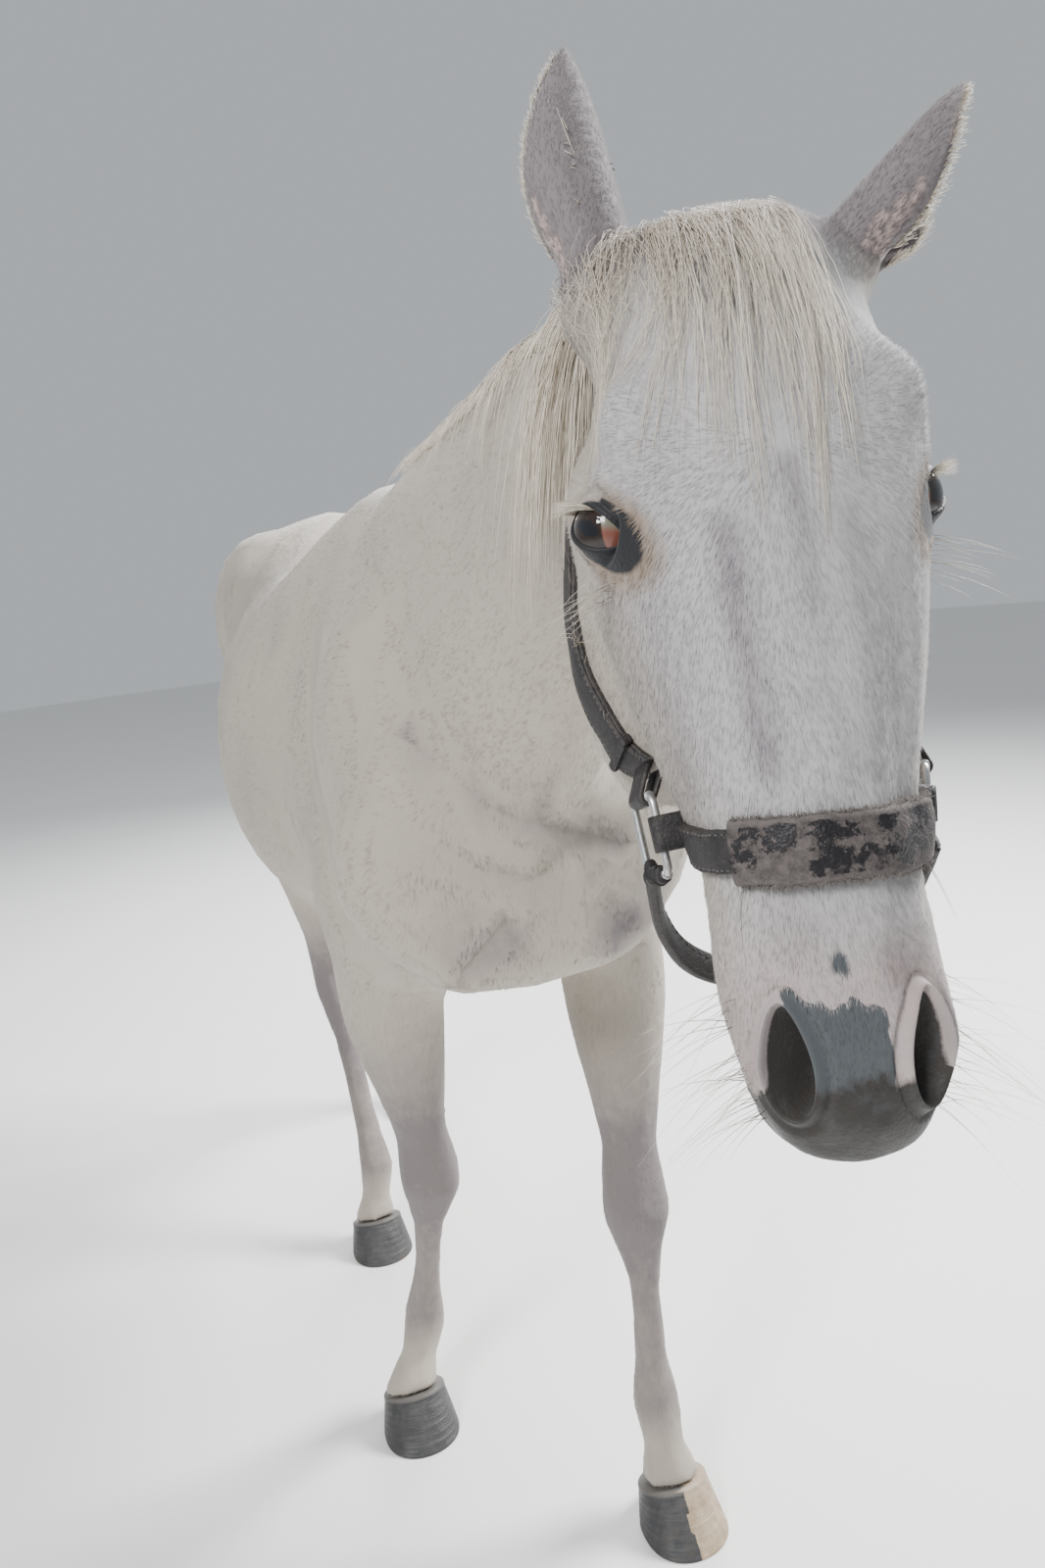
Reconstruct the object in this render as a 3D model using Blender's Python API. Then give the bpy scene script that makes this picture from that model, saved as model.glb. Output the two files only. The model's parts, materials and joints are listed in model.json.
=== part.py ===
"""A pony standing in a short stride with its head lowered towards the viewer, life size, wearing a leather halter.

The flesh is modelled whole, from lofted limbs and muscle masses joined by a remesh, and is then parted into named
pieces by thin cuts. Hair and straps are laid over it and trimmed to its surface. X is the pony's left, -Y is forward
and Z is up, in metres; the withers stand at y = 0 until the last step, which moves the finished model so that its
origin is the middle of its footprint on the floor.
"""

import math

import bmesh
import bpy
import numpy as np
from mathutils import Matrix, Vector
from mathutils.bvhtree import BVHTree

# Driving dimensions
CUT = 0.0005  # width of the thin cuts that part the flesh, and the clearance of fitted pieces
HEAD_BACK = -0.20  # what is nearer the face than this, and above the floor of the head, is head
HEAD_FLOOR = 0.92
HEAD_SOFTNESS = 0.28  # share of the body's smoothing that the head and the lower legs get
LEG_SOFTNESS = 0.35
LEG_TOP = 0.70
SINK = 0.004  # how far a laid piece reaches under the skin before it is trimmed to it
VOXEL = 0.0078  # grain of the remesh that joins the masses
BODY_SHARE = 0.0122  # share of the remeshed triangles kept, by the reduction
RING_SIDES = 24

# The head's own frame: its middle between the eyes, turned to the pony's right and tipped nose forward
HEAD_CENTRE = Vector((-0.015, -0.950, 1.330))
HEAD_YAW = math.radians(-15.7)
HEAD_TIP = math.radians(20)
EYE_RADIUS = 0.0235
EYE_CENTRE = (0.0860, -0.004, 0.001)  # of the left eye, in the head's frame
EAR_BASE = {-1: (-0.074, -0.172, -0.006), 1: (0.080, -0.166, -0.006)}  # by side, in the head's frame
EAR_TIP = {-1: (-0.076, -0.334, -0.012), 1: (0.176, -0.278, -0.010)}
EAR_OPENING = {-1: (-0.75, 0.00, -0.65), 1: (0.75, 0.60, 0.10)}  # the way each ear's hollow faces

STRAP_WIDTH = 0.024
STRAP_THICKNESS = 0.0045
PAD_WIDTH = 0.034
PAD_THICKNESS = 0.0075
EAR_DEPTH = 0.85  # how deep an ear's cup is for its width
EAR_SWEEP = 0.013  # how far the middle of an ear bends towards its opening
RING_BAR = 0.0026  # radius of the wire of the halter's rings
RING_CENTRE = (0.083, 0.176, -0.034)  # of the left ring, in the head's frame
RING_HALF = (0.0235, 0.0165)  # half length down the face and half width, to the wire's middle


# ---------------------------------------------------------------- tools


def clear_scene():
    for obj in list(bpy.data.objects):
        bpy.data.objects.remove(obj, do_unlink=True)


def material(name, colour, roughness, metallic=0.0):
    made = bpy.data.materials.new(name)
    made.use_nodes = True
    shader = made.node_tree.nodes["Principled BSDF"]
    shader.inputs["Base Color"].default_value = (*colour, 1.0)
    shader.inputs["Roughness"].default_value = roughness
    shader.inputs["Metallic"].default_value = metallic
    return made


def new_object(name, mesh, surface=None):
    obj = bpy.data.objects.new(name, mesh)
    bpy.context.scene.collection.objects.link(obj)
    if surface:
        obj.data.materials.append(surface)
    return obj


def object_from(bm, name, surface=None, face_out=True):
    if face_out:
        bmesh.ops.recalc_face_normals(bm, faces=bm.faces)
    mesh = bpy.data.meshes.new(name)
    bm.to_mesh(mesh)
    bm.free()
    return new_object(name, mesh, surface)


def add_box(bm, middle, axes, halves):
    """A box with its own axes, as three unit vectors."""
    turn = Matrix(axes).transposed().to_4x4()
    place = Matrix.Translation(middle) @ turn @ Matrix.Diagonal((*halves, 1))
    bmesh.ops.create_cube(bm, size=2, matrix=place)


def without(obj, *cutters):
    """Cuts other objects out of this one and applies the result."""
    for cutter in cutters:
        cut = obj.modifiers.new("cut", "BOOLEAN")
        cut.operation = "DIFFERENCE"
        cut.solver = "EXACT"
        cut.object = cutter
    return applied(obj)


def swollen(obj, by):
    """A copy of the object, grown along its normals, for use as a cutter."""
    copy = new_object(obj.name + "_swollen", obj.data.copy())
    grow = copy.modifiers.new("grow", "DISPLACE")
    grow.strength = by
    grow.mid_level = 0
    return applied(copy)


def discard(*objects):
    for obj in objects:
        bpy.data.objects.remove(obj, do_unlink=True)


def applied(obj):
    """The object's mesh with its modifiers applied, in place."""
    bpy.context.view_layer.update()
    graph = bpy.context.evaluated_depsgraph_get()
    mesh = bpy.data.meshes.new_from_object(obj.evaluated_get(graph))
    obj.modifiers.clear()
    obj.data = mesh
    return obj


def spline(rows, count):
    """count rows read from a Catmull-Rom curve through the given rows of numbers, at even steps between them."""
    rows = np.array(rows, float)
    padded = np.vstack([2 * rows[0] - rows[1], rows, 2 * rows[-1] - rows[-2]])
    found = []
    for t in np.linspace(0, len(rows) - 1, count):
        i = min(int(t), len(rows) - 2)
        f = t - i
        a, b, c, d = padded[i : i + 4]
        found.append(
            0.5 * (2 * b + (c - a) * f + (2 * a - 5 * b + 4 * c - d) * f**2 + (3 * b - a - 3 * c + d) * f**3)
        )
    return found


def loft(bm, sections, count, facing, normal=None, sides=RING_SIDES):
    """Skins rings along a curve.

    Each section is (x, y, z, half_width, front, back, fullness): its middle, its half width across, how far it
    reaches to the front and the back of that middle, and the power of its outline, 2 being an ellipse. facing is
    the way that front lies. Each ring stands square to the curve, or to normal where one is given.
    """
    rows = spline(sections, count)
    middles = [Vector(row[:3]) for row in rows]
    rings = []
    for i, row in enumerate(rows):
        along = normal or (middles[min(i + 1, count - 1)] - middles[max(i - 1, 0)]).normalized()
        forward = (facing - facing.dot(along) * along).normalized()
        across = along.cross(forward)
        half_width, front, back, fullness = (max(value, 0.002) for value in row[3:7])
        ring = []
        for k in range(sides):
            c, s = math.cos(math.tau * k / sides), math.sin(math.tau * k / sides)
            wide = math.copysign(abs(c) ** (2 / fullness), c) * half_width
            deep = math.copysign(abs(s) ** (2 / fullness), s) * (front if s > 0 else back)
            ring.append(bm.verts.new(middles[i] + across * wide + forward * deep))
        rings.append(ring)
    for ring, following in zip(rings, rings[1:]):
        for k in range(sides):
            m = (k + 1) % sides
            bm.faces.new((ring[k], ring[m], following[m], following[k]))
    bm.faces.new(rings[0])
    bm.faces.new(rings[-1])


def unit_ball():
    """The vertices and faces of a ball of radius 1."""
    bm = bmesh.new()
    bmesh.ops.create_icosphere(bm, subdivisions=3, radius=1)
    found = [v.co.copy() for v in bm.verts], [[v.index for v in face.verts] for face in bm.faces]
    bm.free()
    return found


BALL_PLACES, BALL_FACES = unit_ball()


def ellipsoid(bm, middle, radii, turn=None):
    """A muscle or bone mass. turn is a rotation matrix for its own axes."""
    place = Matrix.Translation(middle) @ (turn or Matrix()).to_4x4() @ Matrix.Diagonal((*radii, 1))
    verts = [bm.verts.new(place @ spot) for spot in BALL_PLACES]
    for face in BALL_FACES:
        bm.faces.new([verts[i] for i in face])


def ridge(bm, start, end, start_radius, end_radius):
    """A rounded ridge between two points."""
    start, end = Vector(start), Vector(end)
    steps = 7
    for i in range(steps):
        f = i / (steps - 1)
        radius = start_radius + (end_radius - start_radius) * f
        ellipsoid(bm, start.lerp(end, f), (radius,) * 3)


# ---------------------------------------------------------------- the head's frame


def head_axes():
    """(towards its left, down the face, out of the face), as unit vectors."""
    left = Vector((math.cos(HEAD_YAW), math.sin(HEAD_YAW), 0))
    ahead = Vector((math.sin(HEAD_YAW), -math.cos(HEAD_YAW), 0))
    up = Vector((0, 0, 1))
    down = -up * math.cos(HEAD_TIP) + ahead * math.sin(HEAD_TIP)
    out = ahead * math.cos(HEAD_TIP) + up * math.sin(HEAD_TIP)
    return left, down, out


HEAD_LEFT, HEAD_DOWN, HEAD_OUT = head_axes()
HEAD_TURN = Matrix((HEAD_LEFT, HEAD_DOWN, HEAD_OUT)).transposed()


def in_head(left, down, out):
    """A place in the head's own frame, as a place in the model."""
    return HEAD_CENTRE + HEAD_LEFT * left + HEAD_DOWN * down + HEAD_OUT * out


def eye_centre(side):
    left, down, out = EYE_CENTRE
    return in_head(side * left, down, out)


def ear_frame(side):
    """(base, unit axis towards the tip, unit way that the hollow faces) of one ear."""
    base = in_head(*EAR_BASE[side])
    axis = (in_head(*EAR_TIP[side]) - base).normalized()
    opening = HEAD_TURN @ Vector(EAR_OPENING[side])
    return base, axis, (opening - opening.dot(axis) * axis).normalized()


# ---------------------------------------------------------------- the flesh


def add_trunk(bm):
    # y, height of the widest level, half width, reach up, reach down, fullness
    stations = [
        (-0.440, 1.000, 0.075, 0.095, 0.085, 2.0),
        (-0.395, 1.000, 0.145, 0.180, 0.155, 2.1),
        (-0.310, 1.000, 0.190, 0.285, 0.195, 2.1),
        (-0.190, 1.000, 0.208, 0.380, 0.230, 2.0),
        (-0.060, 1.000, 0.215, 0.425, 0.255, 1.9),
        (0.060, 1.000, 0.228, 0.448, 0.275, 1.85),
        (0.180, 1.005, 0.262, 0.418, 0.295, 1.95),
        (0.320, 1.010, 0.292, 0.370, 0.312, 2.05),
        (0.450, 1.015, 0.300, 0.348, 0.315, 2.1),
        (0.570, 1.040, 0.285, 0.350, 0.310, 2.1),
        (0.690, 1.090, 0.255, 0.338, 0.290, 2.1),
        (0.800, 1.120, 0.238, 0.322, 0.270, 2.1),
        (0.920, 1.120, 0.222, 0.300, 0.260, 2.1),
        (1.020, 1.120, 0.185, 0.240, 0.220, 2.0),
        (1.090, 1.120, 0.115, 0.140, 0.140, 2.0),
    ]
    sections = [(0, y, z, wide, up, down, full) for y, z, wide, up, down, full in stations]
    loft(bm, sections, 46, facing=Vector((0, 0, 1)), normal=Vector((0, 1, 0)))


def add_neck(bm):
    # x, y, z of the middle, half width, reach to the throat, reach to the crest, fullness
    sections = [
        (0.000, -0.080, 1.150, 0.150, 0.260, 0.290, 2.0),
        (0.000, -0.220, 1.190, 0.138, 0.255, 0.275, 2.0),
        (0.000, -0.370, 1.235, 0.112, 0.215, 0.252, 2.0),
        (0.003, -0.510, 1.290, 0.092, 0.172, 0.218, 2.0),
        (0.010, -0.640, 1.345, 0.080, 0.140, 0.180, 2.0),
        (0.022, -0.750, 1.400, 0.074, 0.125, 0.132, 2.1),
        (0.032, -0.815, 1.425, 0.064, 0.100, 0.085, 2.1),
    ]
    loft(bm, sections, 26, facing=Vector((0, -0.5, -1)))


def add_shoulders_and_quarters(bm):
    for side in (-1, 1):
        tilt = Matrix.Rotation(math.radians(24), 3, "X")
        ellipsoid(bm, (side * 0.138, -0.150, 1.060), (0.072, 0.120, 0.250), tilt)  # shoulder blade
        ellipsoid(bm, (side * 0.150, -0.300, 0.985), (0.075, 0.105, 0.115))  # point of the shoulder
        ellipsoid(bm, (side * 0.160, -0.090, 0.900), (0.068, 0.135, 0.125))  # triceps, down to the elbow
        ellipsoid(bm, (side * 0.088, -0.335, 0.930), (0.080, 0.085, 0.110))  # breast muscle
        ellipsoid(bm, (side * 0.130, 0.800, 1.230), (0.125, 0.215, 0.190))  # croup
        ellipsoid(bm, (side * 0.196, 0.655, 1.290), (0.042, 0.080, 0.060))  # point of the hip
        ellipsoid(bm, (side * 0.140, 0.900, 1.060), (0.105, 0.180, 0.230))  # thigh
        ellipsoid(bm, (side * 0.100, 1.045, 1.090), (0.075, 0.085, 0.190))  # buttock


# Each leg's joints, top to bottom. The toe is the middle of the hoof's front edge on the floor.
FORE_LEFT = {
    "top": (0.155, -0.165, 0.900),
    "elbow": (0.172, -0.125, 0.770),
    "knee": (0.134, -0.232, 0.430),
    "fetlock": (0.124, -0.268, 0.148),
    "toe": (0.124, -0.391, 0.0),
}
FORE_RIGHT = {
    "top": (-0.145, -0.140, 0.900),
    "elbow": (-0.138, -0.055, 0.770),
    "knee": (-0.105, -0.012, 0.430),
    "fetlock": (-0.132, 0.058, 0.148),
    "toe": (-0.170, -0.063, 0.0),
}
HIND_LEFT = {
    "top": (0.130, 0.860, 1.020),
    "stifle": (0.165, 0.760, 0.860),
    "hock": (0.120, 1.070, 0.535),
    "fetlock": (0.088, 1.085, 0.152),
    "toe": (0.064, 0.955, 0.0),
}
HIND_RIGHT = {
    "top": (-0.130, 0.800, 1.020),
    "stifle": (-0.170, 0.640, 0.850),
    "hock": (-0.130, 0.745, 0.500),
    "fetlock": (-0.117, 0.553, 0.152),
    "toe": (-0.134, 0.440, 0.0),
}
HOOF_LENGTH = 0.124
HOOF_WIDTH = 0.116
CORONET_HEIGHT = 0.053  # at the middle of the hoof
CORONET_BACK = 0.092  # from the toe back to the same middle
CORONET_RADIUS = 0.047
CORONET_SLOPE = math.radians(19)


def leg_sections(joints, girths):
    """Sections along a leg. Each girth is (joint, next joint, share of the way, half width, front, back, fullness)."""
    sections = []
    for start, end, share, wide, front, back, full in girths:
        middle = Vector(joints[start]).lerp(Vector(joints[end]), share)
        sections.append((*middle, wide, front, back, full))
    return sections


def coronet_middle(joints):
    """The middle of the hoof's top, behind and above the toe."""
    return Vector(joints["toe"]) + Vector((0, CORONET_BACK, CORONET_HEIGHT))


def add_foreleg(bm, joints):
    joints = dict(joints, coronet=coronet_middle(joints))
    girths = [
        ("top", "elbow", 0.00, 0.070, 0.120, 0.130, 2.0),
        ("top", "elbow", 0.60, 0.074, 0.105, 0.120, 2.0),
        ("elbow", "knee", 0.15, 0.076, 0.088, 0.090, 2.1),
        ("elbow", "knee", 0.45, 0.058, 0.064, 0.060, 2.1),
        ("elbow", "knee", 0.75, 0.041, 0.042, 0.042, 2.2),
        ("elbow", "knee", 0.92, 0.046, 0.043, 0.043, 2.5),
        ("knee", "fetlock", 0.03, 0.048, 0.044, 0.045, 2.6),
        ("knee", "fetlock", 0.17, 0.037, 0.034, 0.042, 2.3),
        ("knee", "fetlock", 0.35, 0.026, 0.026, 0.036, 2.1),
        ("knee", "fetlock", 0.65, 0.025, 0.025, 0.035, 2.1),
        ("knee", "fetlock", 0.85, 0.029, 0.029, 0.038, 2.1),
        ("knee", "fetlock", 1.00, 0.036, 0.035, 0.042, 2.1),
        ("fetlock", "coronet", 0.35, 0.031, 0.031, 0.034, 2.1),
        ("fetlock", "coronet", 0.65, 0.032, 0.032, 0.036, 2.2),
        ("fetlock", "coronet", 1.00, 0.045, 0.043, 0.044, 2.3),
        ("fetlock", "coronet", 1.25, 0.047, 0.044, 0.044, 2.3),
    ]
    loft(bm, leg_sections(joints, girths), 56, facing=Vector((0, -1, 0)))


def add_hind_leg(bm, joints):
    joints = dict(joints, coronet=coronet_middle(joints))
    girths = [
        ("top", "stifle", 0.00, 0.085, 0.130, 0.150, 2.0),
        ("top", "stifle", 0.70, 0.080, 0.110, 0.150, 2.0),
        ("stifle", "hock", 0.12, 0.070, 0.082, 0.118, 2.0),
        ("stifle", "hock", 0.40, 0.054, 0.056, 0.080, 2.0),
        ("stifle", "hock", 0.70, 0.038, 0.038, 0.054, 2.0),
        ("stifle", "hock", 0.92, 0.038, 0.040, 0.064, 2.2),
        ("hock", "fetlock", 0.05, 0.041, 0.044, 0.056, 2.4),
        ("hock", "fetlock", 0.20, 0.034, 0.036, 0.040, 2.2),
        ("hock", "fetlock", 0.40, 0.026, 0.029, 0.034, 2.1),
        ("hock", "fetlock", 0.70, 0.026, 0.028, 0.034, 2.1),
        ("hock", "fetlock", 0.87, 0.030, 0.031, 0.038, 2.1),
        ("hock", "fetlock", 1.00, 0.036, 0.036, 0.043, 2.1),
        ("fetlock", "coronet", 0.35, 0.031, 0.031, 0.034, 2.1),
        ("fetlock", "coronet", 0.65, 0.032, 0.032, 0.036, 2.2),
        ("fetlock", "coronet", 1.00, 0.045, 0.043, 0.044, 2.3),
        ("fetlock", "coronet", 1.25, 0.047, 0.044, 0.044, 2.3),
    ]
    loft(bm, leg_sections(joints, girths), 58, facing=Vector((0, -1, 0)))
    hock = Vector(joints["hock"])
    shin = (hock - Vector(joints["fetlock"])).normalized()
    bone = (hock - Vector(joints["stifle"])).normalized()
    behind = (Vector((0, 1, 0)) - bone * bone.y).normalized()
    point = hock + behind * 0.040 + shin * 0.030
    ridge(bm, hock + behind * 0.012, point, 0.030, 0.020)  # point of the hock
    ridge(bm, Vector(joints["stifle"]).lerp(hock, 0.42) + behind * 0.050, point, 0.036, 0.017)  # tendon to it


def add_head(bm):
    face = [  # down the face, half width, front, back, fullness
        (-0.215, 0.052, -0.005, 0.085, 2.2),
        (-0.165, 0.072, 0.042, 0.105, 2.2),
        (-0.095, 0.084, 0.076, 0.105, 2.3),
        (-0.020, 0.091, 0.087, 0.095, 2.4),
        (0.055, 0.090, 0.081, 0.090, 2.3),
        (0.125, 0.076, 0.071, 0.078, 2.1),
        (0.195, 0.062, 0.063, 0.062, 2.1),
        (0.228, 0.061, 0.060, 0.054, 2.2),
        (0.260, 0.065, 0.057, 0.046, 2.2),
        (0.297, 0.061, 0.053, 0.036, 2.3),
        (0.335, 0.052, 0.043, 0.026, 2.3),
        (0.364, 0.036, 0.021, 0.016, 2.1),
    ]
    sections = [(*in_head(0, down, 0), wide, front, back, full) for down, wide, front, back, full in face]
    loft(bm, sections, 40, facing=HEAD_OUT, normal=HEAD_DOWN)
    jaw = [  # down the face, half width, out of the face to the front, to the back, fullness
        (-0.120, 0.050, -0.020, 0.120, 2.0),
        (-0.050, 0.074, 0.000, 0.176, 2.2),
        (0.030, 0.080, 0.000, 0.188, 2.4),
        (0.100, 0.072, 0.000, 0.168, 2.3),
        (0.170, 0.053, 0.000, 0.124, 2.1),
        (0.235, 0.047, 0.000, 0.090, 2.1),
        (0.280, 0.051, 0.000, 0.084, 2.2),
        (0.322, 0.051, 0.000, 0.080, 2.2),
        (0.352, 0.041, 0.000, 0.056, 2.1),
    ]
    sections = [(*in_head(0, down, 0), wide, front, back, full) for down, wide, front, back, full in jaw]
    loft(bm, sections, 34, facing=HEAD_OUT, normal=HEAD_DOWN)
    for side in (-1, 1):
        ellipsoid(bm, in_head(side * 0.069, 0.036, -0.095), (0.043, 0.122, 0.088), HEAD_TURN)  # cheek
        ellipsoid(bm, in_head(side * 0.088, -0.024, -0.036), (0.027, 0.056, 0.030), HEAD_TURN)  # cheek bone
        ellipsoid(bm, in_head(side * 0.078, -0.004, 0.008), (0.027, 0.043, 0.038), HEAD_TURN)  # orbit
        ellipsoid(bm, in_head(side * 0.066, -0.046, 0.046), (0.032, 0.040, 0.026), HEAD_TURN)  # brow
        ridge(bm, in_head(side * 0.092, 0.045, -0.010), in_head(side * 0.066, 0.150, -0.006), 0.013, 0.010)
        ellipsoid(bm, in_head(side * 0.039, 0.298, 0.026), (0.024, 0.042, 0.032), HEAD_TURN)  # nostril wing
        base, axis, _ = ear_frame(side)
        ridge(bm, base - axis * 0.030, base + axis * 0.022, 0.032, 0.025)  # root of the ear
    ellipsoid(bm, in_head(0, 0.317, -0.054), (0.043, 0.036, 0.033), HEAD_TURN)  # chin
    ellipsoid(bm, in_head(0, 0.334, 0.018), (0.048, 0.034, 0.034), HEAD_TURN)  # upper lip


def flesh():
    """The whole body as one closed mesh, without ears and hooves."""
    bm = bmesh.new()
    add_trunk(bm)
    add_neck(bm)
    add_shoulders_and_quarters(bm)
    for joints in (FORE_LEFT, FORE_RIGHT):
        add_foreleg(bm, joints)
    for joints in (HIND_LEFT, HIND_RIGHT):
        add_hind_leg(bm, joints)
    add_head(bm)
    body = object_from(bm, "flesh", face_out=False)
    remesh = body.modifiers.new("join", "REMESH")
    remesh.mode = "VOXEL"
    remesh.voxel_size = VOXEL
    applied(body)
    soft = body.vertex_groups.new(name="soft")
    for vertex in body.data.vertices:
        on_head = HEAD_OUT.dot(vertex.co - HEAD_CENTRE) > HEAD_BACK and vertex.co.z > HEAD_FLOOR
        share = HEAD_SOFTNESS if on_head else (1.0 if vertex.co.z > LEG_TOP else LEG_SOFTNESS)
        soft.add([vertex.index], share, "REPLACE")
    smooth = body.modifiers.new("blend", "SMOOTH")
    smooth.factor = 0.6
    smooth.iterations = 40
    smooth.vertex_group = soft.name
    reduce = body.modifiers.new("reduce", "DECIMATE")
    reduce.ratio = BODY_SHARE
    reduce.vertex_group = soft.name
    reduce.vertex_group_factor = 0.02
    return applied(body)


# ---------------------------------------------------------------- parting the flesh


def across_bone(joints, start, end, share):
    """(middle, axes) of a plane square to a bone; the last axis runs down it."""
    first, last = Vector(joints[start]), Vector(joints[end])
    down = (last - first).normalized()
    wide = (Vector((1, 0, 0)) - down.x * down).normalized()
    return first.lerp(last, share), (wide, down.cross(wide), down)


def coronet_axes():
    """(across, towards the toe, up) of the plane between a pastern and its hoof."""
    toe = Vector((0, -math.cos(CORONET_SLOPE), math.sin(CORONET_SLOPE)))
    return Vector((1, 0, 0)), toe, Vector((1, 0, 0)).cross(toe) * -1


def cutters():
    """Everything that is taken out of the flesh: thin slabs, hooves, eye sockets, ears and nostrils."""
    bm = bmesh.new()
    half = CUT / 2
    flat = (Vector((1, 0, 0)), Vector((0, 0, 1)), Vector((0, -1, 0)))
    add_box(bm, (0, 0.100, 1.10), flat, (0.42, 0.55, half))  # behind the shoulders
    add_box(bm, (0, 0.500, 1.10), flat, (0.42, 0.55, half))  # behind the barrel
    slope = Vector((0, -0.41, -0.51)).normalized()
    add_box(bm, (0, -0.265, 1.205), (Vector((1, 0, 0)), slope, Vector((1, 0, 0)).cross(slope)), (0.36, 0.42, half))
    jaw_line = (HEAD_DOWN * 0.285 - HEAD_OUT * 0.145).normalized()
    nape = (HEAD_LEFT, jaw_line, HEAD_LEFT.cross(jaw_line))
    add_box(bm, in_head(0, -0.060, -0.165), nape, (0.20, 0.26, half))  # between head and neck
    for joints, names in ((FORE_LEFT, "elbow knee"), (FORE_RIGHT, "elbow knee"), (HIND_LEFT, "stifle hock"),
                          (HIND_RIGHT, "stifle hock")):
        upper, middle = names.split()
        share, reach = (0.16, 0.118) if upper == "elbow" else (0.42, 0.150)
        add_box(bm, *across_bone(joints, upper, middle, share), (0.115, reach, half))
        add_box(bm, *across_bone(joints, middle, "fetlock", 0.13), (0.08, 0.10, half))
        add_box(bm, *across_bone(joints, middle, "fetlock", 0.86), (0.07, 0.08, half))
        axes = coronet_axes()
        depth = 0.06
        add_box(bm, coronet_middle(joints) - axes[2] * depth, axes, (0.08, 0.09, depth))
    for side in (-1, 1):
        ellipsoid(bm, eye_centre(side), (EYE_RADIUS + CUT,) * 3)
        base, axis, opening = ear_frame(side)
        across = axis.cross(opening)
        add_box(bm, base + axis * (EAR_FOOT + 0.03), (across, opening, axis), (0.05, 0.05, 0.03))
        nostril = Matrix.Rotation(math.radians(-22 * side), 3, "Z")
        ellipsoid(bm, in_head(side * 0.045, 0.290, 0.050), (0.010, 0.024, 0.016), HEAD_TURN @ nostril)
    return object_from(bm, "cutters")


PIECES = {  # each piece of flesh, and a place near its middle
    "neck": (0.0, -0.50, 1.27),
    "shoulders": (0.0, -0.17, 1.08),
    "barrel": (0.0, 0.30, 1.03),
    "hindquarters": (0.0, 0.80, 1.05),
}


def leg_pieces():
    """The pieces of the four legs, and a place near the middle of each."""
    places = {}
    for name, joints in (("fore_left", FORE_LEFT), ("fore_right", FORE_RIGHT), ("hind_left", HIND_LEFT),
                         ("hind_right", HIND_RIGHT)):
        upper, middle, word = ("elbow", "knee", "forearm") if "fore" in name else ("stifle", "hock", "gaskin")
        side = name.split("_")[1]
        places[f"{word}_{side}"] = Vector(joints[upper]).lerp(Vector(joints[middle]), 0.65)
        places[f"cannon_{name}"] = Vector(joints[middle]).lerp(Vector(joints["fetlock"]), 0.5)
        places[f"pastern_{name}"] = Vector(joints["fetlock"]).lerp(coronet_middle(joints), 0.3)
    return places


def part(body, surface):
    """Parts the flesh and names each loose piece after the nearest place in the list."""
    tools = cutters()
    without(body, tools)
    discard(tools)
    places = {name: Vector(place) for name, place in PIECES.items()}
    places["head"] = in_head(0, 0.08, -0.04)
    places.update(leg_pieces())
    bm = bmesh.new()
    bm.from_mesh(body.data)
    left = set(bm.verts)
    found = {}
    while left:
        front = {left.pop()}
        island = set(front)
        while front:
            front = {e.other_vert(v) for v in front for e in v.link_edges} & left
            left -= front
            island |= front
        spread = np.array([v.co for v in island])
        middle = Vector((spread.min(axis=0) + spread.max(axis=0)) / 2)
        name = min(places, key=lambda key: (places[key] - middle).length)
        if name not in found or len(found[name]) < len(island):
            found[name] = island
    for name, island in found.items():
        index = {v: i for i, v in enumerate(sorted(island, key=lambda v: v.index))}
        faces = [[index[v] for v in face.verts] for face in bm.faces if face.verts[0] in index]
        mesh = bpy.data.meshes.new(name)
        mesh.from_pydata([v.co for v in index], [], faces)
        new_object(name, mesh, surface)
    bm.free()
    return found


# ---------------------------------------------------------------- eyes, ears and hooves

EAR_FOOT = 0.012  # from an ear's base to the flat cut that it stands on
EAR_PROFILE = [  # share of the length, half width, half of the angle it wraps, thickness
    (0.00, 0.027, 165, 0.0200),
    (0.12, 0.030, 150, 0.0090),
    (0.28, 0.033, 128, 0.0048),
    (0.45, 0.033, 108, 0.0038),
    (0.62, 0.029, 95, 0.0034),
    (0.78, 0.021, 88, 0.0030),
    (0.90, 0.012, 84, 0.0026),
    (1.00, 0.003, 80, 0.0016),
]


def eye(name, side, surface):
    bm = bmesh.new()
    turn = Matrix.Rotation(math.radians(90), 3, "Y").to_4x4()
    place = Matrix.Translation(eye_centre(side)) @ turn
    bmesh.ops.create_uvsphere(bm, u_segments=12, v_segments=8, radius=EYE_RADIUS, matrix=place)
    object_from(bm, name, surface)


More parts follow.
